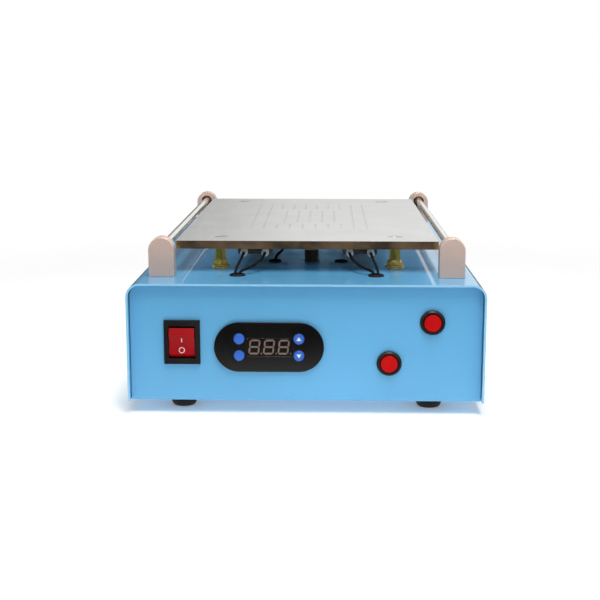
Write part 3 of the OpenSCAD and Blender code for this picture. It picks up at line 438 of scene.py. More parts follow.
def cross_recess(piece, size, depth, top):
    arm, half = size / 2, size / 9
    outline = [(arm, -half), (arm, half), (half, half)]
    for _ in range(3):
        outline += [(-y, x) for x, y in outline[-3:]]
    tool = slab("driver", outline, top - depth, top + 1)
    for vert in tool.data.vertices:
        if vert.co.z < top * mm:
            vert.co.x, vert.co.y = vert.co.x * 0.55, vert.co.y * 0.55
    return carve(piece, tool)


def pan_screw(name, head, height, shank, length):
    """Head upwards, with its seat at z = 0."""
    dome = [(head / 2 * math.sin(a), height * (0.45 + 0.55 * math.cos(a)))
            for a in (0, 0.35, 0.7, 1.0, 1.25, 1.45)]
    profile = [*dome, (head / 2, height * 0.4), (head / 2, 0), (shank / 2, 0), (shank / 2, -length),
               (0, -length - shank / 5)]
    return cross_recess(turned(name, profile), head * 0.62, height * 0.75, height)


def sunk_screw(name, head, height, shank, length):
    """Countersunk, with the face of its head at z = 0."""
    profile = [(0, 0), (head / 2 - 0.25, 0), (head / 2, -0.2), (shank / 2, -height),
               (shank / 2, -length), (0, -length)]
    return cross_recess(turned(name, profile, 40), head * 0.58, height * 0.7, 0)


# Sets one piece out at many places, each turned as its place says and loose by a random twist.
set_out, given, end = new_tree("set_out", "GeometryNodeTree", {
    "Places": "Geometry", "Piece": "Object", "Twist": "Float", "Finish": "Material"}, {"Pieces": "Geometry"})
turns = result(set_out, "GeometryNodeInputNamedAttribute", {"Name": "turn"}, data_type="FLOAT_VECTOR")
twist = wire(set_out, "FunctionNodeRandomValue", {
    "Min": 0.0, "Max": given["Twist"], "Seed": 7}, data_type="FLOAT").outputs["Value"]
turned_so = result(set_out, "FunctionNodeRotateRotation", {
    0: result(set_out, "FunctionNodeEulerToRotation", {0: turns}),
    1: result(set_out, "FunctionNodeEulerToRotation", {
        0: result(set_out, "ShaderNodeCombineXYZ", {"Z": twist})})}, rotation_space="LOCAL")
model = wire(set_out, "GeometryNodeObjectInfo", {"Object": given["Piece"], "As Instance": True})
stood = result(set_out, "GeometryNodeInstanceOnPoints", {
    "Points": given["Places"], "Instance": model.outputs["Geometry"], "Rotation": turned_so})


def finished(tree, shape, finish):
    """The tree's shape as one real mesh with its finish."""
    whole = result(tree, "GeometryNodeRealizeInstances", {0: shape})
    return result(tree, "GeometryNodeSetMaterial", {"Geometry": whole, "Material": finish})


ends(set_out, end, {"Pieces": finished(set_out, stood, given["Finish"])})


def run_tree(piece, tree, values):
    """Runs a geometry tree on a piece with these named inputs, and keeps the result as a plain mesh."""
    step = piece.modifiers.new(tree.name, "NODES")
    step.node_group = tree
    for item in tree.interface.items_tree:
        if item.in_out == "INPUT" and item.name in values:
            step[item.identifier] = values[item.name]
    return plain_mesh(piece)


def set_pieces(name, piece, places, finish, twist=0.0):
    """places holds ((x, y, z), (turn x, turn y, turn z)) in metres and radians."""
    mesh = bpy.data.meshes.new(name)
    mesh.from_pydata([place for place, _ in places], [], [])
    turns = mesh.attributes.new("turn", "FLOAT_VECTOR", "POINT")
    turns.data.foreach_set("vector", [angle for _, turn in places for angle in turn])
    carrier = run_tree(link(name, mesh), set_out, {"Piece": piece, "Twist": twist, "Finish": finish})
    bpy.data.objects.remove(piece)
    return carrier


def fit_set(node, slot, piece, places, finish, twist=0.0, **more):
    """One piece set out at all the places of a CAD node."""
    fit(set_pieces(node + "_made", piece, places, finish, twist), slot, node, **more)


def fit_screws(node, screw, edge, places):
    fit_set(node, "screw_steel", soften(screw, edge, angle=50), places, screw_steel, 1.5)


def corners(x, y, z, turn=up, mid_y=0.0, mid_x=0.0):
    return [((mid_x + sx * x, mid_y + sy * y, z), turn) for sx in (-1, 1) for sy in (-1, 1)]


def plate_corners(z, turn=up):
    """Where the plate is screwed down, at this height."""
    return corners(66.5 * mm, 124 * mm, z, turn, plate_mid_y)


screw_sink = 0.45 * mm
fit_screws("plate_screws", sunk_screw("sunk_screw", head=11, height=3, shank=5, length=14), 0.08,
           plate_corners(plate_high.z - screw_sink))

side_screw_y, side_screw_z = 168 * mm, 17 * mm
fit_screws("cover_screws", pan_screw("side_screw", head=5.6, height=1.8, shank=3, length=6), 0.06,
           [((side * cover_high.x, y, side_screw_z), (0, side * quarter, 0))
            for side in (-1, 1) for y in (-side_screw_y, 0, side_screw_y)])

foot_x, foot_y, foot_pocket_z = 90.17 * mm, 169 * mm, 5 * mm
fit_screws("foot_screws", pan_screw("foot_screw", head=7.4, height=2.6, shank=4, length=11), 0.08,
           corners(foot_x, foot_y, foot_pocket_z, down))

clamp_screw_x, clamp_screw_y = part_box("manifold_screws")[1].x - 3.5 * mm, 62 * mm
clamp_face_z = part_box("heater_clamps")[0].z
fit_screws("manifold_screws", pan_screw("clamp_screw", head=7, height=2.4, shank=4, length=11.2), 0.08,
           corners(clamp_screw_x, clamp_screw_y, clamp_face_z, down, plate_mid_y))


def middle(node):
    low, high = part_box(node)
    return (low + high) / 2


inlet_mid, inlet_face_y, inlet_screw_x = middle("power_inlet"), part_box("power_inlet")[1].y, 20 * mm
fit_screws("inlet_screws", pan_screw("inlet_screw", head=5.6, height=1.7, shank=3, length=8), 0.06,
           [((inlet_mid.x + side * inlet_screw_x, inlet_face_y, inlet_mid.z), backward) for side in (-1, 1)])

# Feet: four black rubber mouldings, round-edged below, each with a pocket for its screw.
# The surface is matt, with a fine moulding grain.
moulded_grain, given, end = new_tree("moulded_grain", "ShaderNodeTree", {
    "Colour": "Color", "Grain scale": "Float", "Shade swing": "Float", "Roughness": "Float"}, outcome)
fine, cloud = noise(moulded_grain, given["Grain scale"]), noise(moulded_grain, 45.0)
ends(moulded_grain, end, {
    "Colour": shaded(moulded_grain, given["Colour"], fine, cloud, given["Shade swing"]),
    "Roughness": add(moulded_grain, given["Roughness"], scaled(moulded_grain, cloud, -0.07, 0.08)),
    "Height": fine})


def moulded(name, colour, grain_scale, roughness, swing=0.2, relief=0.02, dull=0.0, gloss=0.5, **plain):
    """Moulded plastic or rubber with a fine grain."""
    plain = {label.replace("_", " "): value for label, value in plain.items()}
    finish, tree, shader = new_finish(name, {"Specular IOR Level": gloss, **plain})
    grained = wire(tree, "ShaderNodeGroup", {
        "Colour": colour, "Grain scale": grain_scale, "Shade swing": swing, "Roughness": roughness},
        node_tree=moulded_grain).outputs
    rough = smeared(tree, grained["Roughness"], 30.0, dull) if dull else grained["Roughness"]
    dress(tree, shader, grained["Colour"], rough, grained["Height"], relief)
    return finish


def turned_piece(name, profile, sides, edge, angle=60, ring=False, **edges):
    """Turned about Z, with its edges rounded."""
    return soften(turned(name, profile, sides, ring), edge, angle=angle, **edges)


foot_rubber = moulded("foot_rubber", (0.012, 0.012, 0.014), 900.0, 0.62, swing=0.3, relief=0.04, gloss=0.25)
round_edge = [(7 + 3 * math.cos(k * math.pi / 16), 8 * (1 - math.sin(k * math.pi / 16))) for k in range(8)]
profile = [(2.2, 10), (9.7, 10), (10, 9.7), *round_edge, (7.2, 0.05), (6.8, 0), (4.5, 0), (4.2, 0.3),
           (4.2, 5), (2.2, 5)]
fit_set("feet", "foot_rubber", turned_piece("foot", profile, 48, 0.1, ring=True),
        corners(foot_x, foot_y, 0), foot_rubber)

# Heating plate: a 6 mm aluminium plate brushed from front to back, drilled with two fields of
# suction holes and countersunk for its screws. Its side faces are dark brown, with a painted
# highlight in gold towards the left and right corners, and its rounded edges carry a painted
# highlight in lighter metal.
tint_patches, given, end = new_tree("tint_patches", "ShaderNodeTree", {
    "Colour": "Color", "Tint": "Color", "Patch scale": "Float", "Amount": "Float"},
    {"Colour": "Color", "Height": "Float"})
patch = noise(tint_patches, given["Patch scale"])
share = times(tint_patches, scaled(tint_patches, patch, 0, 1, 0.38, 0.62), given["Amount"])
ends(tint_patches, end, {
    "Colour": mixed(tint_patches, share, given["Colour"], given["Tint"]), "Height": patch})


def tinted(name, colour, tint, patch_scale, amount, roughness, relief=0.01, metallic=1.0, near=None):
    """Plated, tarnished or mottled finish: one colour with patches of another. near adds a colour
    towards the ends of X, as (colour, where it starts, where it is full)."""
    finish, tree, shader = new_finish(name, {"Metallic": metallic})
    if near:
        off_middle = math_node(tree, "ABSOLUTE", result(tree, "ShaderNodeSeparateXYZ", {0: own_place(tree)}))
        colour = mixed(tree, scaled(tree, off_middle, 0, 1, near[1], near[2]), colour, near[0])
    mottled = wire(tree, "ShaderNodeGroup", {
        "Colour": colour, "Tint": tint, "Patch scale": patch_scale, "Amount": amount},
        node_tree=tint_patches).outputs
    rough = scaled(tree, noise(tree, patch_scale * 3), roughness - 0.05, roughness + 0.07)
    dress(tree, shader, mottled["Colour"], rough, mottled["Height"], relief)
    return finish


plate_face = machined("plate_face", (0.635, 0.635, 0.62), (2600, 26, 2600), 0.05, 0.36, metallic=0.5)
# Dark brown side faces, with a painted highlight in gold near the left and right corners.
plate_sides_and_end_highlight = tinted("plate_edge_browned", (0.20, 0.115, 0.055), (0.050, 0.029, 0.013), 45.0, 0.9, 0.36,
                    metallic=0.2, near=((0.85, 0.55, 0.16), 0.093, 0.0975))
# A lighter metal on the plate's rounded edges and hole rims, a painted highlight.
plate_rim_highlight = machined("plate_bright_edge", (0.80, 0.795, 0.77), (300, 300, 300), 0.1, 0.25)


# Holes in rows. Columns count in half pitches from the plate's middle.
hole_pitch_x, hole_pitch_y, first_row_y, hole_radius = 10.4, 10.5, -70.5, 1
outer_field = [(column, row) for column in range(-9, 10, 2) for row in range(17)
               if abs(column) > 5 or row < 3 or row > 12]
inner_field = [(column, row) for column in range(-4, 5, 2) for row in range(4, 12)]
holes = [((column / 2 * hole_pitch_x * mm, (first_row_y + row * hole_pitch_y) * mm, plate_low.z), up)
         for column, row in outer_field + inner_field]
through, corner, corner_steps = (plate_high.z - plate_low.z) / mm + 1, 1.5, 6
width, depth = (plate_high.x - plate_low.x) / mm, (plate_high.y - plate_low.y) / mm
outline = [(sx * (width / 2 - corner) + corner * math.cos(a),
            sy * (depth / 2 - corner) + corner * math.sin(a) + plate_mid_y / mm)
           for k, (sx, sy) in enumerate(((1, 1), (-1, 1), (-1, -1), (1, -1)))
           for a in ((k + step / corner_steps) * quarter for step in range(corner_steps + 1))]
plate = slab("plate_drilled", outline, plate_low.z / mm, plate_high.z / mm)
drill = turned("drill", [(0, -1), (hole_radius, -1), (hole_radius, through), (0, through)], 14)
carve(plate, set_pieces("drills", drill, holes, plate_rim_highlight))
sink = turned("countersink", [(0, -through), (2.7, -through), (2.7, -3.3), (6, 0), (6, 1), (0, 1)], 40)
carve(plate, set_pieces("countersinks", sink, plate_corners(plate_high.z), plate_rim_highlight))
lay_finishes(plate, (plate_face, plate_sides_and_end_highlight, plate_rim_highlight))
side_x, side_y = (width / 2 - 2) * mm, (depth / 2 - 2) * mm
for face in plate.data.polygons:
    at_side = abs(face.center.x) > side_x or abs(face.center.y - plate_mid_y) > side_y
    face.material_index = 1 if abs(face.normal.z) < 0.5 and at_side else 0
fit(soften(plate, 0.25, angle=50, edge_slot=2), "plate_aluminium", "heating_plate")

# Standoffs and flange nuts: turned from hexagon bar, chamfered, and zinc plated with a yellow
# passivate that shows pink and green tints. Each stud is clamped by a nut above and below.
yellow_zinc = tinted("yellow_zinc", (0.98, 0.74, 0.06), (0.92, 0.46, 0.28), 90.0, 0.5, 0.2, metallic=0.55)


def hex_bar(name, across_flats, low, high, chamfer, start=0.0):
    """Hexagon bar with its corners turned off at both ends."""
    reach = across_flats / 2 / math.cos(math.pi / 6)
    short, edge = across_flats / 2 + 0.02, (reach - across_flats / 2) * chamfer
    barrel = [(0, low), (short, low), (reach + 0.01, low + edge), (reach + 0.01, high - edge), (short, high),
              (0, high)]
    return carve(slab(name, circle(reach, 6, start), low, high), turned("turning", barrel, 48), "INTERSECT")


def bored(piece, radius, low, high, mouth):
    """Bored through, with a chamfer at each mouth."""
    wide = radius + mouth
    bore = [(0, low - 1), (wide, low - 1), (wide, low), (radius, low + mouth), (radius, high - mouth),
            (wide, high), (wide, high + 1), (0, high + 1)]
    return carve(piece, turned("bore", bore))


sheet_thickness, nut_height = 1.5, 6
deck_z, roof_z = cover_high.z, cover_high.z - sheet_thickness * mm
standoff_height = (plate_low.z - deck_z) / mm - nut_height
piece = hex_bar("standoff", 8, 0, standoff_height, 0.8, math.pi / 6)
carve(piece, turned("stud", [(0, 0.1), (3, 0.1), (3, 0), (3, -15), (2.5, -15.5), (0, -15.5)]), "UNION")
carve(piece, turned("socket", [(0, 2.7), (2.55, 2.7), (2.55, standoff_height - 0.4), (2.95, standoff_height),
                               (2.95, 12), (0, 12)]))
fit_set("standoffs", "yellow_zinc", soften(piece, 0.1, angle=40), plate_corners(deck_z + nut_height * mm),
        yellow_zinc)

piece = hex_bar("flange_nut", 10, 0, nut_height, 0.7)
flange = [(0, 0), (6.9, 0), (7.1, 0.25), (7.1, 1.0), (6.8, 1.35), (5.1, 2.6), (0, 2.6)]
carve(piece, turned("flange", flange, 40), "UNION")
bored(piece, 3.05, 0, nut_height, 0.5)
fit_set("flange_nuts", "yellow_zinc", soften(piece, 0.12, angle=40),
        plate_corners(deck_z) + plate_corners(roof_z, down), yellow_zinc, 1.0)

# Suction manifold: a milled aluminium plate with a pocket for each field of holes, sealed to the
# underside of the heating plate by a die-cut silicone gasket.
manifold_metal = machined("manifold_milled", (0.50, 0.50, 0.49), (1400, 30, 1400), 0.2, 0.36, relief=0.02)
softened_node("vacuum_manifold", "manifold_plate", "manifold_aluminium", [manifold_metal], 0.35)
silicone = moulded("seal_silicone", (0.42, 0.075, 0.045), 700.0, 0.58, relief=0.03)
softened_node("manifold_seal", "seal_sheet", "silicone_seal", [silicone], 0.12)

# Heaters: mica strips in folded steel skins, held up by two pressed steel bars. Glazed ceramic
# terminals with steel ferrules stand out of their front ends.
mica = tinted("mica_in_steel", (0.16, 0.115, 0.075), (0.07, 0.055, 0.045), 140.0, 1.0, 0.42,
              relief=0.05, metallic=0.6)
softened_node("heaters", "heater_strips", "mica_heater", [mica], 0.6, segments=3)
clamp_metal = machined("clamp_pressed_steel", (0.42, 0.42, 0.42), (40, 1500, 1500), 0.25, 0.34)
softened_node("heater_clamps", "clamp_bars", "clamp_steel", [clamp_metal], 0.35)

forward = (quarter, 0, 0)
heater_face_y, heater_mid_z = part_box("heaters")[0].y, middle("heaters").z
heater_x, pole_x, ceramic_length, terminal_length = 39.9, 8, 8.35, 9
ceramic = moulded("glazed_ceramic", (0.96, 0.70, 0.47), 260.0, 0.3, swing=0.12, Coat_Weight=0.1)
ferrule_steel = machined("ferrule_steel", (0.5, 0.5, 0.5), (900, 900, 900), 0.2, 0.3)
profile = [(0, 0), (2.6, 0), (2.8, 0.2), (2.8, 2.05), (2.6, 2.25), (2.24, 2.4), (2.24, 6.6), (2.6, 6.75),
           (2.8, 6.95), (2.8, 8.1), (2.55, ceramic_length), (1.75, ceramic_length), (1.75, 8.9),
           (1.55, terminal_length), (0, terminal_length)]
fit_set("heater_terminals", "white_ceramic", turned_piece("terminal", profile, 28, 0.08, angle=50),
        [(((side * heater_x + pole * pole_x) * mm, heater_face_y, heater_mid_z), forward)
         for side in (-1, 1) for pole in (-1, 1)], ceramic, finishes=[ceramic, ferrule_steel],
        second=lambda centre, normal: centre.y < heater_face_y / mm - ceramic_length - 0.01)

# Leads and hoses: glass-sleeved leads from the heaters and the probe, and rubber hose to the
# pump. Each is one round tube carried along its route, held at both ends.
tube_along, given, end = new_tree("tube_along", "GeometryNodeTree", {
    "Route": "Geometry", "Diameter": "Float", "Sides": "Int", "Finish": "Material"}, {"Tube": "Geometry"})
spine = result(tube_along, "GeometryNodeMeshToCurve", {"Mesh": given["Route"]})
ring = result(tube_along, "GeometryNodeCurvePrimitiveCircle", {
    "Resolution": given["Sides"], "Radius": times(tube_along, given["Diameter"], 0.5)})
skin = result(tube_along, "GeometryNodeCurveToMesh", {
    "Curve": spine, "Profile Curve": ring, "Fill Caps": True})
ends(tube_along, end, {"Tube": finished(tube_along, skin, given["Finish"])})


def between(a, b, shares):
    """Points at these shares of the way from one point to another, along X, Y and Z."""
    return [Vector(a[k] + (b[k] - a[k]) * share[k] for k in range(3)) for share in shares]


def rounded_route(points, steps=5):
    """A smooth way through the points, straight in its first and last stretch."""
    way = [points[0]]
    for a, b, c, d in zip(points, points[1:], points[2:], points[3:]):
        way += [(2 * b + (c - a) * t + (2 * a - 5 * b + 4 * c - d) * t * t
                 + (3 * b - a - 3 * c + d) * t ** 3) / 2 for t in (s / steps for s in range(steps))]
    return way + points[-2:]


def fit_tubes(node, slot, routes, diameter, finish, sides=12):
    """One mesh of tubes for a CAD node. Routes and diameter are in millimetres."""
    points, edges = [], []
    for route in routes:
        way = rounded_route([Vector(point) for point in route])
        edges += [(len(points) + k, len(points) + k + 1) for k in range(len(way) - 1)]
        points += way
    mesh = bpy.data.meshes.new(node + "_made")
    mesh.from_pydata([point * mm for point in points], edges, [])
    made = run_tree(link(node + "_made", mesh), tube_along, {
        "Diameter": diameter * mm, "Sides": sides, "Finish": finish})
    for face in made.data.polygons:
        face.use_smooth = len(face.vertices) == 4
    fit(made, slot, node)


sleeve = moulded("lead_glass_sleeve", (0.008, 0.007, 0.007), 1300.0, 0.65, swing=0.5, relief=0.04, gloss=0.08)
rubber_hose = moulded("hose_olive_rubber", (0.036, 0.035, 0.022), 500.0, 0.55, swing=0.3, relief=0.04,
                      gloss=0.35)
lead_hole_x, lead_hole_y, lead_gap = 50.6, -163, 1.6
block_mid, block_top, block_way = middle("terminal_block") / mm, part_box("terminal_block")[1].z / mm, 9
outer_over = [(0.227, 0.356, 0.153), (0.682, 0.672, 0.431), (0.955, 0.925, 0.664)]
inner_over = [(0.145, 0.356, 0.226), (0.523, 0.672, 0.504), (0.953, 0.941, 0.693)]
lead_ways = (
    (1, 1, outer_over, [(0, 0.019, 0.133), (0.123, 0.192, 0.367), (0.55, 0.481, 0.633),
                        (0.929, 0.769, 0.833)]),
    (1, -1, inner_over, [(0, 0.019, 0.133), (0.118, 0.192, 0.4), (0.51, 0.481, 0.667),
                         (0.935, 0.769, 0.85)]),
    (-1, -1, inner_over, [(0.006, 0.048, 0.15), (0.088, 0.307, 0.25), (0.279, 0.567, 0.267),
                          (0.508, 0.711, 0.35), (0.756, 0.769, 0.5), (0.967, 0.856, 0.717)]),
    (-1, 1, outer_over, [(0.002, 0.033, 0.133), (0.044, 0.221, 0.267), (0.247, 0.509, 0.367),
                         (0.53, 0.639, 0.467), (0.772, 0.711, 0.567), (0.975, 0.827, 0.767)]))
lead_routes = []
for way, (side, pole, over, under) in enumerate(lead_ways):
    x, y, z = side * (heater_x + pole_x * pole), heater_face_y / mm - terminal_length, heater_mid_z / mm
    start, off = (x, y, z), (x, y - 4, z)
    hole = (side * (lead_hole_x + lead_gap * pole), lead_hole_y, roof_z / mm)
    x, y, z = block_mid.x - (way + 0.5) * block_way, block_mid.y, block_top
    above, entry, clamped = (x, y - 2, z + 6.45), (x, y, z + 3.45), (x, y, z + 0.05)
    lead_routes.append([start, off, *between(off, hole, over), hole, *between(hole, above, under), above,
                        entry, clamped])
fit_tubes("heater_leads", "lead_sleeve", lead_routes, 2, sleeve)

probe_hole_x, probe_hole_y, module_back_y = 25.9, -96, -136
low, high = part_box("temperature_probe")
x, y, z = middle("temperature_probe").x / mm, low.y / mm, high.z / mm - 2.8
start, off, hole = (x, y, z), (x, y - 3, z), (-probe_hole_x, probe_hole_y, deck_z / mm)
joint = (-probe_hole_x, module_back_y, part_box("probe_lead")[0].z / mm + 1)
over = [(0.25, 0.72, 0.197), (0.825, 1.04, 0.59)]
under = [(0, 0.025, 0.169), (0, 0.175, 0.41), (0, 0.475, 0.699), (0, 0.75, 0.916), (0, 0.9, 1)]
probe_route = [start, off, *between(off, hole, over), hole, *between(hole, joint, under), joint]
fit_tubes("probe_lead", "lead_sleeve", [probe_route], 2, sleeve)

zone_x, zone_y = 2.5, (-93, -7.5)
port_x, port_z, head_port_x, head_port_z, straight = 24.5, 25.5, 46, 41.5, 4
hose_ways = (
    (zone_y[0], 19, [(0.43, 0.063, 0.03), (0.61, 0.205, 0.045), (0.61, 0.473, 0.26), (0.61, 0.741, 0.59),
                     (0.52, 0.893, 0.8), (0.7, 0.973, 0.9)]),
    (zone_y[1], 35, [(0.28, 0.163, 0.03), (0.17, 0.465, 0.32), (0.31, 0.814, 0.75), (0.7, 0.977, 0.9)]))
hose_routes = []
for y, head_y, shares in hose_ways:
    off, onto = (port_x + straight, y, port_z), (head_port_x - straight, head_y, head_port_z)
    hose_routes.append([(port_x, y, port_z), off, *between(off, onto, shares), onto,
                        (head_port_x, head_y, head_port_z)])
fit_tubes("pump_hoses", "hose_rubber", hose_routes, 8, rubber_hose, 20)

# Grommets: black rubber rings snapped into the holes of the cover, round-lipped on both faces,
# so that the sheet doesn't chafe the leads.
grommet_rubber = moulded("grommet_rubber", (0.010, 0.010, 0.010), 800.0, 0.55, swing=0.3, relief=0.02,
                         gloss=0.12)


def grommets(name, x, y, rim, hole, bore):
    """A ring in the cover's hole on each side, with the hole's own radius between its two lips."""
    profile = [(bore, -2.85), (rim - 0.4, -2.85), (rim, -2.5), (rim, -sheet_thickness),
               (hole, -sheet_thickness), (hole, 0), (rim, 0), (rim - 0.1, 0.55), (rim - 0.5, 1.1),
               (rim - 1.1, 1.35), (bore + 0.5, 1.35), (bore, 0.9)]
    return set_pieces(name, turned_piece("grommet", profile, 40, 0.06, ring=True),
                      [((side * x * mm, y * mm, deck_z), up) for side in (-1, 1)], grommet_rubber)


def joined(piece, other):
    """Two pieces of one finish made into one mesh."""
    shape = bmesh.new()
    shape.from_mesh(piece.data)
    shape.from_mesh(other.data)
    shape.to_mesh(piece.data)
    shape.free()
    bpy.data.objects.remove(other)
    return piece


lead_rings = grommets("lead_grommets_made", lead_hole_x, lead_hole_y, rim=6, hole=4.72, bore=3.5)
probe_rings = grommets("probe_grommets", probe_hole_x, probe_hole_y, rim=5.25, hole=3.97, bore=2)
fit(joined(lead_rings, probe_rings), "black_rubber", "lead_grommets")

# Probe, suction fittings and their hoses: a stainless tube in a folded clip, two turned brass
# fittings with barbs, and olive rubber hose pushed over the barbs.
probe_metal = machined("probe_stainless", (0.48, 0.47, 0.45), (60, 900, 900), 0.15, 0.28)
softened_node("temperature_probe", "probe_and_clip", "probe_steel", [probe_metal], 0.4)


def at_zones(z):
    return [((zone_x * mm, y * mm, z), up) for y in zone_y]


brass = tinted("fitting_brass", (0.62, 0.43, 0.15), (0.36, 0.24, 0.10), 180.0, 0.6, 0.28)
barbs = [point for top in (-5.2, -9.2, -13.2) for point in ((2.6, top), (3.0, top - 2.7))]
piece = hex_bar("fitting", 12, -5, 0, 0.6)
carve(piece, turned("barb", [(0, 0.95), (2.97, 0.95), (2.97, -5), *barbs, (2.4, -17), (0, -17)]), "UNION")
bored(piece, 1.5, -17, 0.95, 0.2)
fit_set("vacuum_fittings", "brass_fitting", soften(piece, 0.1, angle=40),
        at_zones(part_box("vacuum_manifold")[0].z), brass, 0.8)

hose_low, hose_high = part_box("vacuum_hoses")
length = (hose_high.z - hose_low.z) / mm
wall = [(3.05, 0), (5.1, 0), (5.4, 0.3), (5.5, 3), (5.3, 6), (5.25, length / 2), (5.3, length - 7),
        (5.5, length - 4), (5.4, length - 0.3), (5.1, length), (3.05, length)]
fit_set("vacuum_hoses", "hose_rubber", turned_piece("hose", wall, 40, 0.1, ring=True), at_zones(hose_low.z),
        rubber_hose)

# Wire guides: four milled posts in champagne anodised aluminium, bronze bushes pressed into
# their bores, and two ground and polished steel rods that turn in the bushes.
post_skin = machined("post_anodised", (0.66, 0.475, 0.395), (400, 400, 1800), 0.05, 0.45, relief=0.005,
                     metallic=0.15)
# The posts' rounded edges take a lighter colour, a painted highlight.
post_rim_highlight = machined("post_bright_rim", (0.80, 0.62, 0.53), (500, 500, 500), 0.06, 0.35, relief=0.005,
                    metallic=0.3)
for node in ("front_left_post", "front_right_post", "rear_left_post", "rear_right_post"):
    softened_node(node, "milled_" + node, "post_aluminium", [post_skin, post_rim_highlight], 0.45, edge_slot=1)

rod_mid, rod_end, bush_half = middle("right_rod"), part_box("right_rod")[1].y / mm, 4
bronze = tinted("bush_bronze", (0.30, 0.165, 0.10), (0.09, 0.05, 0.035), 300.0, 0.9, 0.36)
profile = [(3.05, -4), (4.6, -4), (4.97, -3.6), (4.97, 3.6), (4.6, 4), (3.05, 4)]
fit_set("rod_bushes", "bush_bronze", turned_piece("bush", profile, 40, 0.08, angle=50, ring=True),
        corners(rod_mid.x, (rod_end - bush_half) * mm, rod_mid.z, forward), bronze)

rod_steel = machined("rod_polished", (0.82, 0.81, 0.76), (30, 1600, 30), 0.05, 0.14, metallic=0.6)
tip = [(0, rod_end), (2.3, rod_end), (2.45, rod_end - 0.05), (3, rod_end - 0.6)]
profile = [(radius, -height) for radius, height in tip] + tip[::-1]
for side, hand in ((-1, "left"), (1, "right")):
    fit_set(hand + "_rod", "rod_steel", turned_piece("rod", profile, 48, 0.05),
            [((side * rod_mid.x, 0, rod_mid.z), backward)], rod_steel, body="rod_" + hand)

post_y, post_screw_x = 165.4 * mm, 5 * mm
fit_screws("post_screws", pan_screw("post_screw", head=7, height=2.6, shank=4, length=10.2), 0.08,
           [((sx * rod_mid.x + s * post_screw_x, sy * post_y, roof_z), down)
            for sx in (-1, 1) for sy in (-1, 1) for s in (-1, 1)])

# Power switch: a moulded black nylon body with a stepped rim, and a glossy red rocker that
# swings on two pins. I and O are pad-printed in white.
nylon = moulded("nylon_black", (0.009, 0.008, 0.008), 1100.0, 0.36, relief=0.02, dull=0.1, gloss=0.35)
softened_node("switch_housing", "switch_body", "black_nylon", [nylon], 0.35)
rocker_red = moulded("rocker_red", (0.31, 0.002, 0.005), 500.0, 0.36, swing=0.05, dull=0.05, gloss=0.12)
softened_node("power_rocker", "rocker_moulded", "red_rocker", [rocker_red], 0.45, body="rocker", segments=3)
print_white = moulded("printed_white", (0.74, 0.70, 0.68), 900.0, 0.5, swing=0.05)

switch_mid, pin_y, rocker_lean = middle("switch_housing"), -193 * mm, math.radians(9)
rocker_turn = Matrix.Translation((switch_mid.x, pin_y, switch_mid.z)) @ Matrix.Rotation(rocker_lean, 4, "X")
waist_depth, shoulder_depth, shoulder_height = 3.219, 5.106, 7.215
face_lean = math.atan2(shoulder_depth - waist_depth, shoulder_height)


def printed(name, outline, hole, along, side):
    """A printed mark lying on the rocker's upper (1) or lower (-1) face, this far along the face."""
    mark = slab(name, outline, -0.04, 0.03)
    if hole:
        carve(mark, slab("hole", hole, -1, 1))
    mark.data.transform(
        rocker_turn @ Matrix.Translation((0, -waist_depth * mm, 0))
        @ Matrix.Rotation(quarter + side * face_lean, 4, "X") @ Matrix.Translation((0, side * along * mm, 0)))
    return mark


on_mark = printed("mark_on", [(-0.29, -1.7), (0.29, -1.7), (0.29, 1.7), (-0.29, 1.7)], None, 2.5, 1)
off_mark = printed("mark_off", circle(2.1), circle(1.66), 5.0, -1)
fit(joined(on_mark, off_mark), "red_rocker", body="rocker", finishes=[print_white])

# Thermostat: a glossy black front with a smoked window over three unlit digits, and four blue
# silicone keys that press through it. The moulded body behind it goes through the panel.
fascia_black = moulded("fascia_gloss_black", (0.004, 0.0035, 0.0035), 700.0, 0.13, swing=0.15,
                       relief=0.006, dull=0.05, Coat_Weight=0.5, Coat_Roughness=0.05)
softened_node("thermostat_fascia", "fascia_moulded", "gloss_black", [fascia_black], 0.4)
softened_node("thermostat_body", "thermostat_case", "black_nylon", [nylon], 0.6)

smoked = moulded("window_smoked", (0.62, 0.58, 0.56), 200.0, 0.05, swing=0.02, relief=0.001,
                 Transmission_Weight=1.0, IOR=1.36)
softened_node("display_window", "window_pane", "smoked_window", [smoked], 0.12)
digit_base = moulded("display_base_black", (0.004, 0.004, 0.004), 600.0, 0.4, swing=0.2, gloss=0.2)
segment_grey = moulded("segments_unlit", (0.84, 0.70, 0.64), 900.0, 0.35, swing=0.12)
segments_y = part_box("display_digits")[0].y / mm + 0.3
softened_node("display_digits", "display_module", "digit_grey", [digit_base, segment_grey], 0.03,
              second=lambda centre, normal: centre.y < segments_y)

fascia_mid, fascia_y, key_x, key_z = middle("thermostat_fascia"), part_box("thermostat_fascia")[0].y, 21.3, 6.1
key_blue = moulded("key_blue", (0.018, 0.12, 0.54), 700.0, 0.36, swing=0.12, dull=0.1, Coat_Weight=0.2)
profile = [(0, 0.5), (1.6, 0.47), (2.8, 0.38), (3.45, 0.2), (3.85, -0.1), (3.85, -2.25), (4.45, -2.25),
           (4.45, -3.05), (0, -3.05)]
arrow = [(-1.7, -1.2), (1.7, -1.2), (0, 1.7)]
for key, side, level, points_up in (
    ("set", -1, 1, 0), ("mode", -1, -1, 0), ("up", 1, 1, 1), ("down", 1, -1, -1),
):
    place = (fascia_mid.x + side * key_x * mm, fascia_y, fascia_mid.z + level * key_z * mm)
    fit_set(key + "_key", "blue_key", turned_piece("key", profile, 40, 0.1), [(place, forward)], key_blue,
            body="key_" + key)
    if points_up:
        mark = slab(key + "_arrow", [(x, points_up * y) for x, y in arrow], -0.52, -0.33, upright=True)
        mark.data.transform(Matrix.Translation(place))
        fit(soften(mark, 0.03), "blue_key", body="key_" + key, finishes=[print_white])

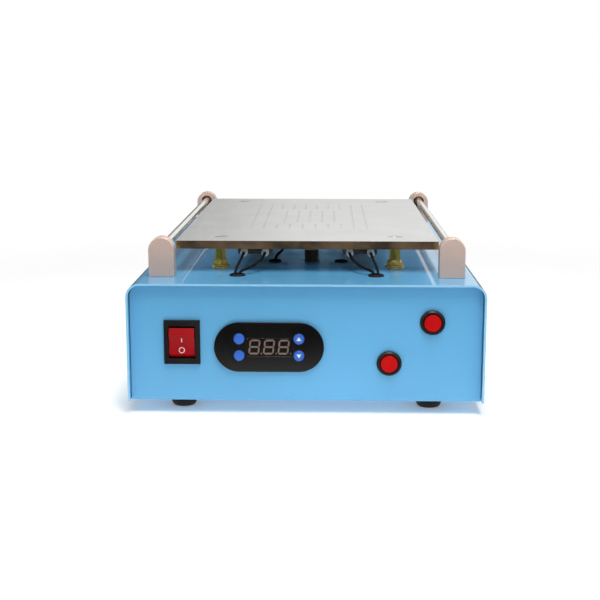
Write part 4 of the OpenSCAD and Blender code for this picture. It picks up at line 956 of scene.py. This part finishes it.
# Push-buttons: threaded black nylon bezels held by hexagon nuts behind the panel, and flat red
# caps that sink into them.
panel_y, nut_y = -194 * mm, (sheet_thickness - 194) * mm
button_places = [((x * mm, panel_y, z * mm), forward) for x, z in ((89.7, 67.7), (59.4, 37.9))]
thread = [(7.8 if k % 2 else 7.45, -1.0 - 0.5 * k) for k in range(1, 41)]
profile = [(0, -5.5), (6.4, -5.5), (6.4, 2.6), (6.75, 3.0), (7.5, 3.0), (7.8, 2.88), (8.8, 1.95), (8.9, 1.75),
           (8.9, 0.15), (8.8, 0), (7.8, 0), (7.8, -1.0), *thread, (7.3, -22), (0, -22)]
fit_set("button_bezels", "black_nylon", turned_piece("bezel", profile, 48, 0.06, angle=70, segments=1),
        button_places, nylon)

piece = bored(hex_bar("bezel_nut", 19, 0, 3, 0.7), 7.85, 0, 3, 0.3)
fit_set("button_nuts", "black_nylon", soften(piece, 0.12, angle=40),
        [((x, nut_y, z), backward) for (x, _, z), _ in button_places], nylon, 1.0)

cap_red = moulded("cap_red", (0.47, 0.002, 0.003), 500.0, 0.36, swing=0.08, dull=0.1, gloss=0.08)
profile = [(0, 4.16), (3.5, 4.2), (4.9, 4.3), (5.4, 4.26), (5.85, 4.02), (6.08, 3.6), (6.1, 3.3), (6.1, -2.7),
           (0, -2.7)]
for number, place in enumerate(button_places, 1):
    fit_set(f"button_cap_{number}", "red_cap", turned_piece("cap", profile, 48, 0.08), [place], cap_red,
            body=f"button_{number}")

# Power inlet in the rear panel: a moulded flange with a keyed socket, held by its two screws,
# and three bent brass pins.
softened_node("power_inlet", "inlet_moulded", "black_nylon", [nylon], 0.4)
pin_brass = tinted("pin_brass", (0.60, 0.48, 0.22), (0.42, 0.32, 0.16), 200.0, 0.5, 0.24)
softened_node("inlet_pins", "inlet_blades", "pin_brass", [pin_brass], 0.5, segments=3)

# Inside the case: a diaphragm pump on rubber mounts with a valve for each zone, a small mains
# board with its transformer, and a nylon terminal block for the heaters' leads.
softened_node("zone_valves", "valve_bodies", "black_nylon", [nylon], 0.7)
softened_node("pump_head", "pump_head_moulded", "black_nylon", [nylon], 0.9)
motor_mid = middle("pump_motor")
motor_can = machined("motor_can", (0.44, 0.44, 0.45), (40, 1200, 40), 0.2, 0.3)
profile = [(0, 0), (17, 0), (17.7, 0.3), (18, 1), (18, 44), (17.6, 44.3), (17.6, 45.7), (18, 46), (18, 57),
           (17.7, 57.7), (17, 58), (6.5, 58), (6, 58.4), (6, 60.5), (5.5, 61), (0, 61)]
fit_set("pump_motor", "motor_steel", turned_piece("motor", profile, 56, 0.2, angle=40),
        [((motor_mid.x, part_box("pump_motor")[0].y, motor_mid.z), backward)], motor_can)

floor_z = 11.5 * mm
pump_x, mounts_x, mounts_y = 78, 15, (27, 57)
profile = [(0, 0), (5.7, 0), (6, 0.3), (6, 0.9), (5.1, 2.2), (5.1, 3.8), (6, 5.1), (6, 5.7), (5.7, 6), (0, 6)]
places = [(((pump_x + side * mounts_x) * mm, y * mm, floor_z), up) for side in (-1, 1) for y in mounts_y]
fit_set("pump_mounts", "black_rubber", turned_piece("mount", profile, 28, 0.08), places, grommet_rubber)

board_mid, board_top_z = middle("power_board"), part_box("power_board")[0].z / mm + 1.6
solder_mask = moulded("board_solder_mask", (0.012, 0.085, 0.035), 380.0, 0.3, swing=0.35, relief=0.02,
                      Coat_Weight=0.3)
capacitor = moulded("capacitor_sleeve", (0.015, 0.02, 0.045), 300.0, 0.28, swing=0.1)
softened_node("power_board", "mains_board", "board_green", [solder_mask, capacitor], 0.4,
              second=lambda centre, normal: centre.z > board_top_z + 0.1)
spacer_brass = machined("spacer_brass", (0.58, 0.44, 0.18), (800, 800, 800), 0.2, 0.3)
piece = bored(hex_bar("spacer", 5.2, 0, 8, 0.8), 1.5, 0, 8, 0.3)
fit_set("board_spacers", "spacer_brass", soften(piece, 0.08, angle=40),
        corners(35 * mm, 50 * mm, floor_z, up, board_mid.y, board_mid.x), spacer_brass, 1.0)

tape = moulded("winding_tape", (0.55, 0.40, 0.05), 260.0, 0.4, swing=0.15, relief=0.03, Coat_Weight=0.2)
laminations = machined("core_laminations", (0.16, 0.15, 0.15), (30, 2500, 30), 0.5, 0.45, relief=0.04)
core_mid_y, core_half = middle("transformer").y / mm, 9.8
softened_node("transformer", "transformer_wound", "transformer_tape", [tape, laminations], 0.5,
              second=lambda centre, normal: abs(centre.y - core_mid_y) < core_half)

block_nylon = moulded("terminal_nylon", (0.66, 0.65, 0.60), 400.0, 0.42, swing=0.08, relief=0.02)
softened_node("terminal_block", "terminal_strip", "block_nylon", [block_nylon], 0.3)
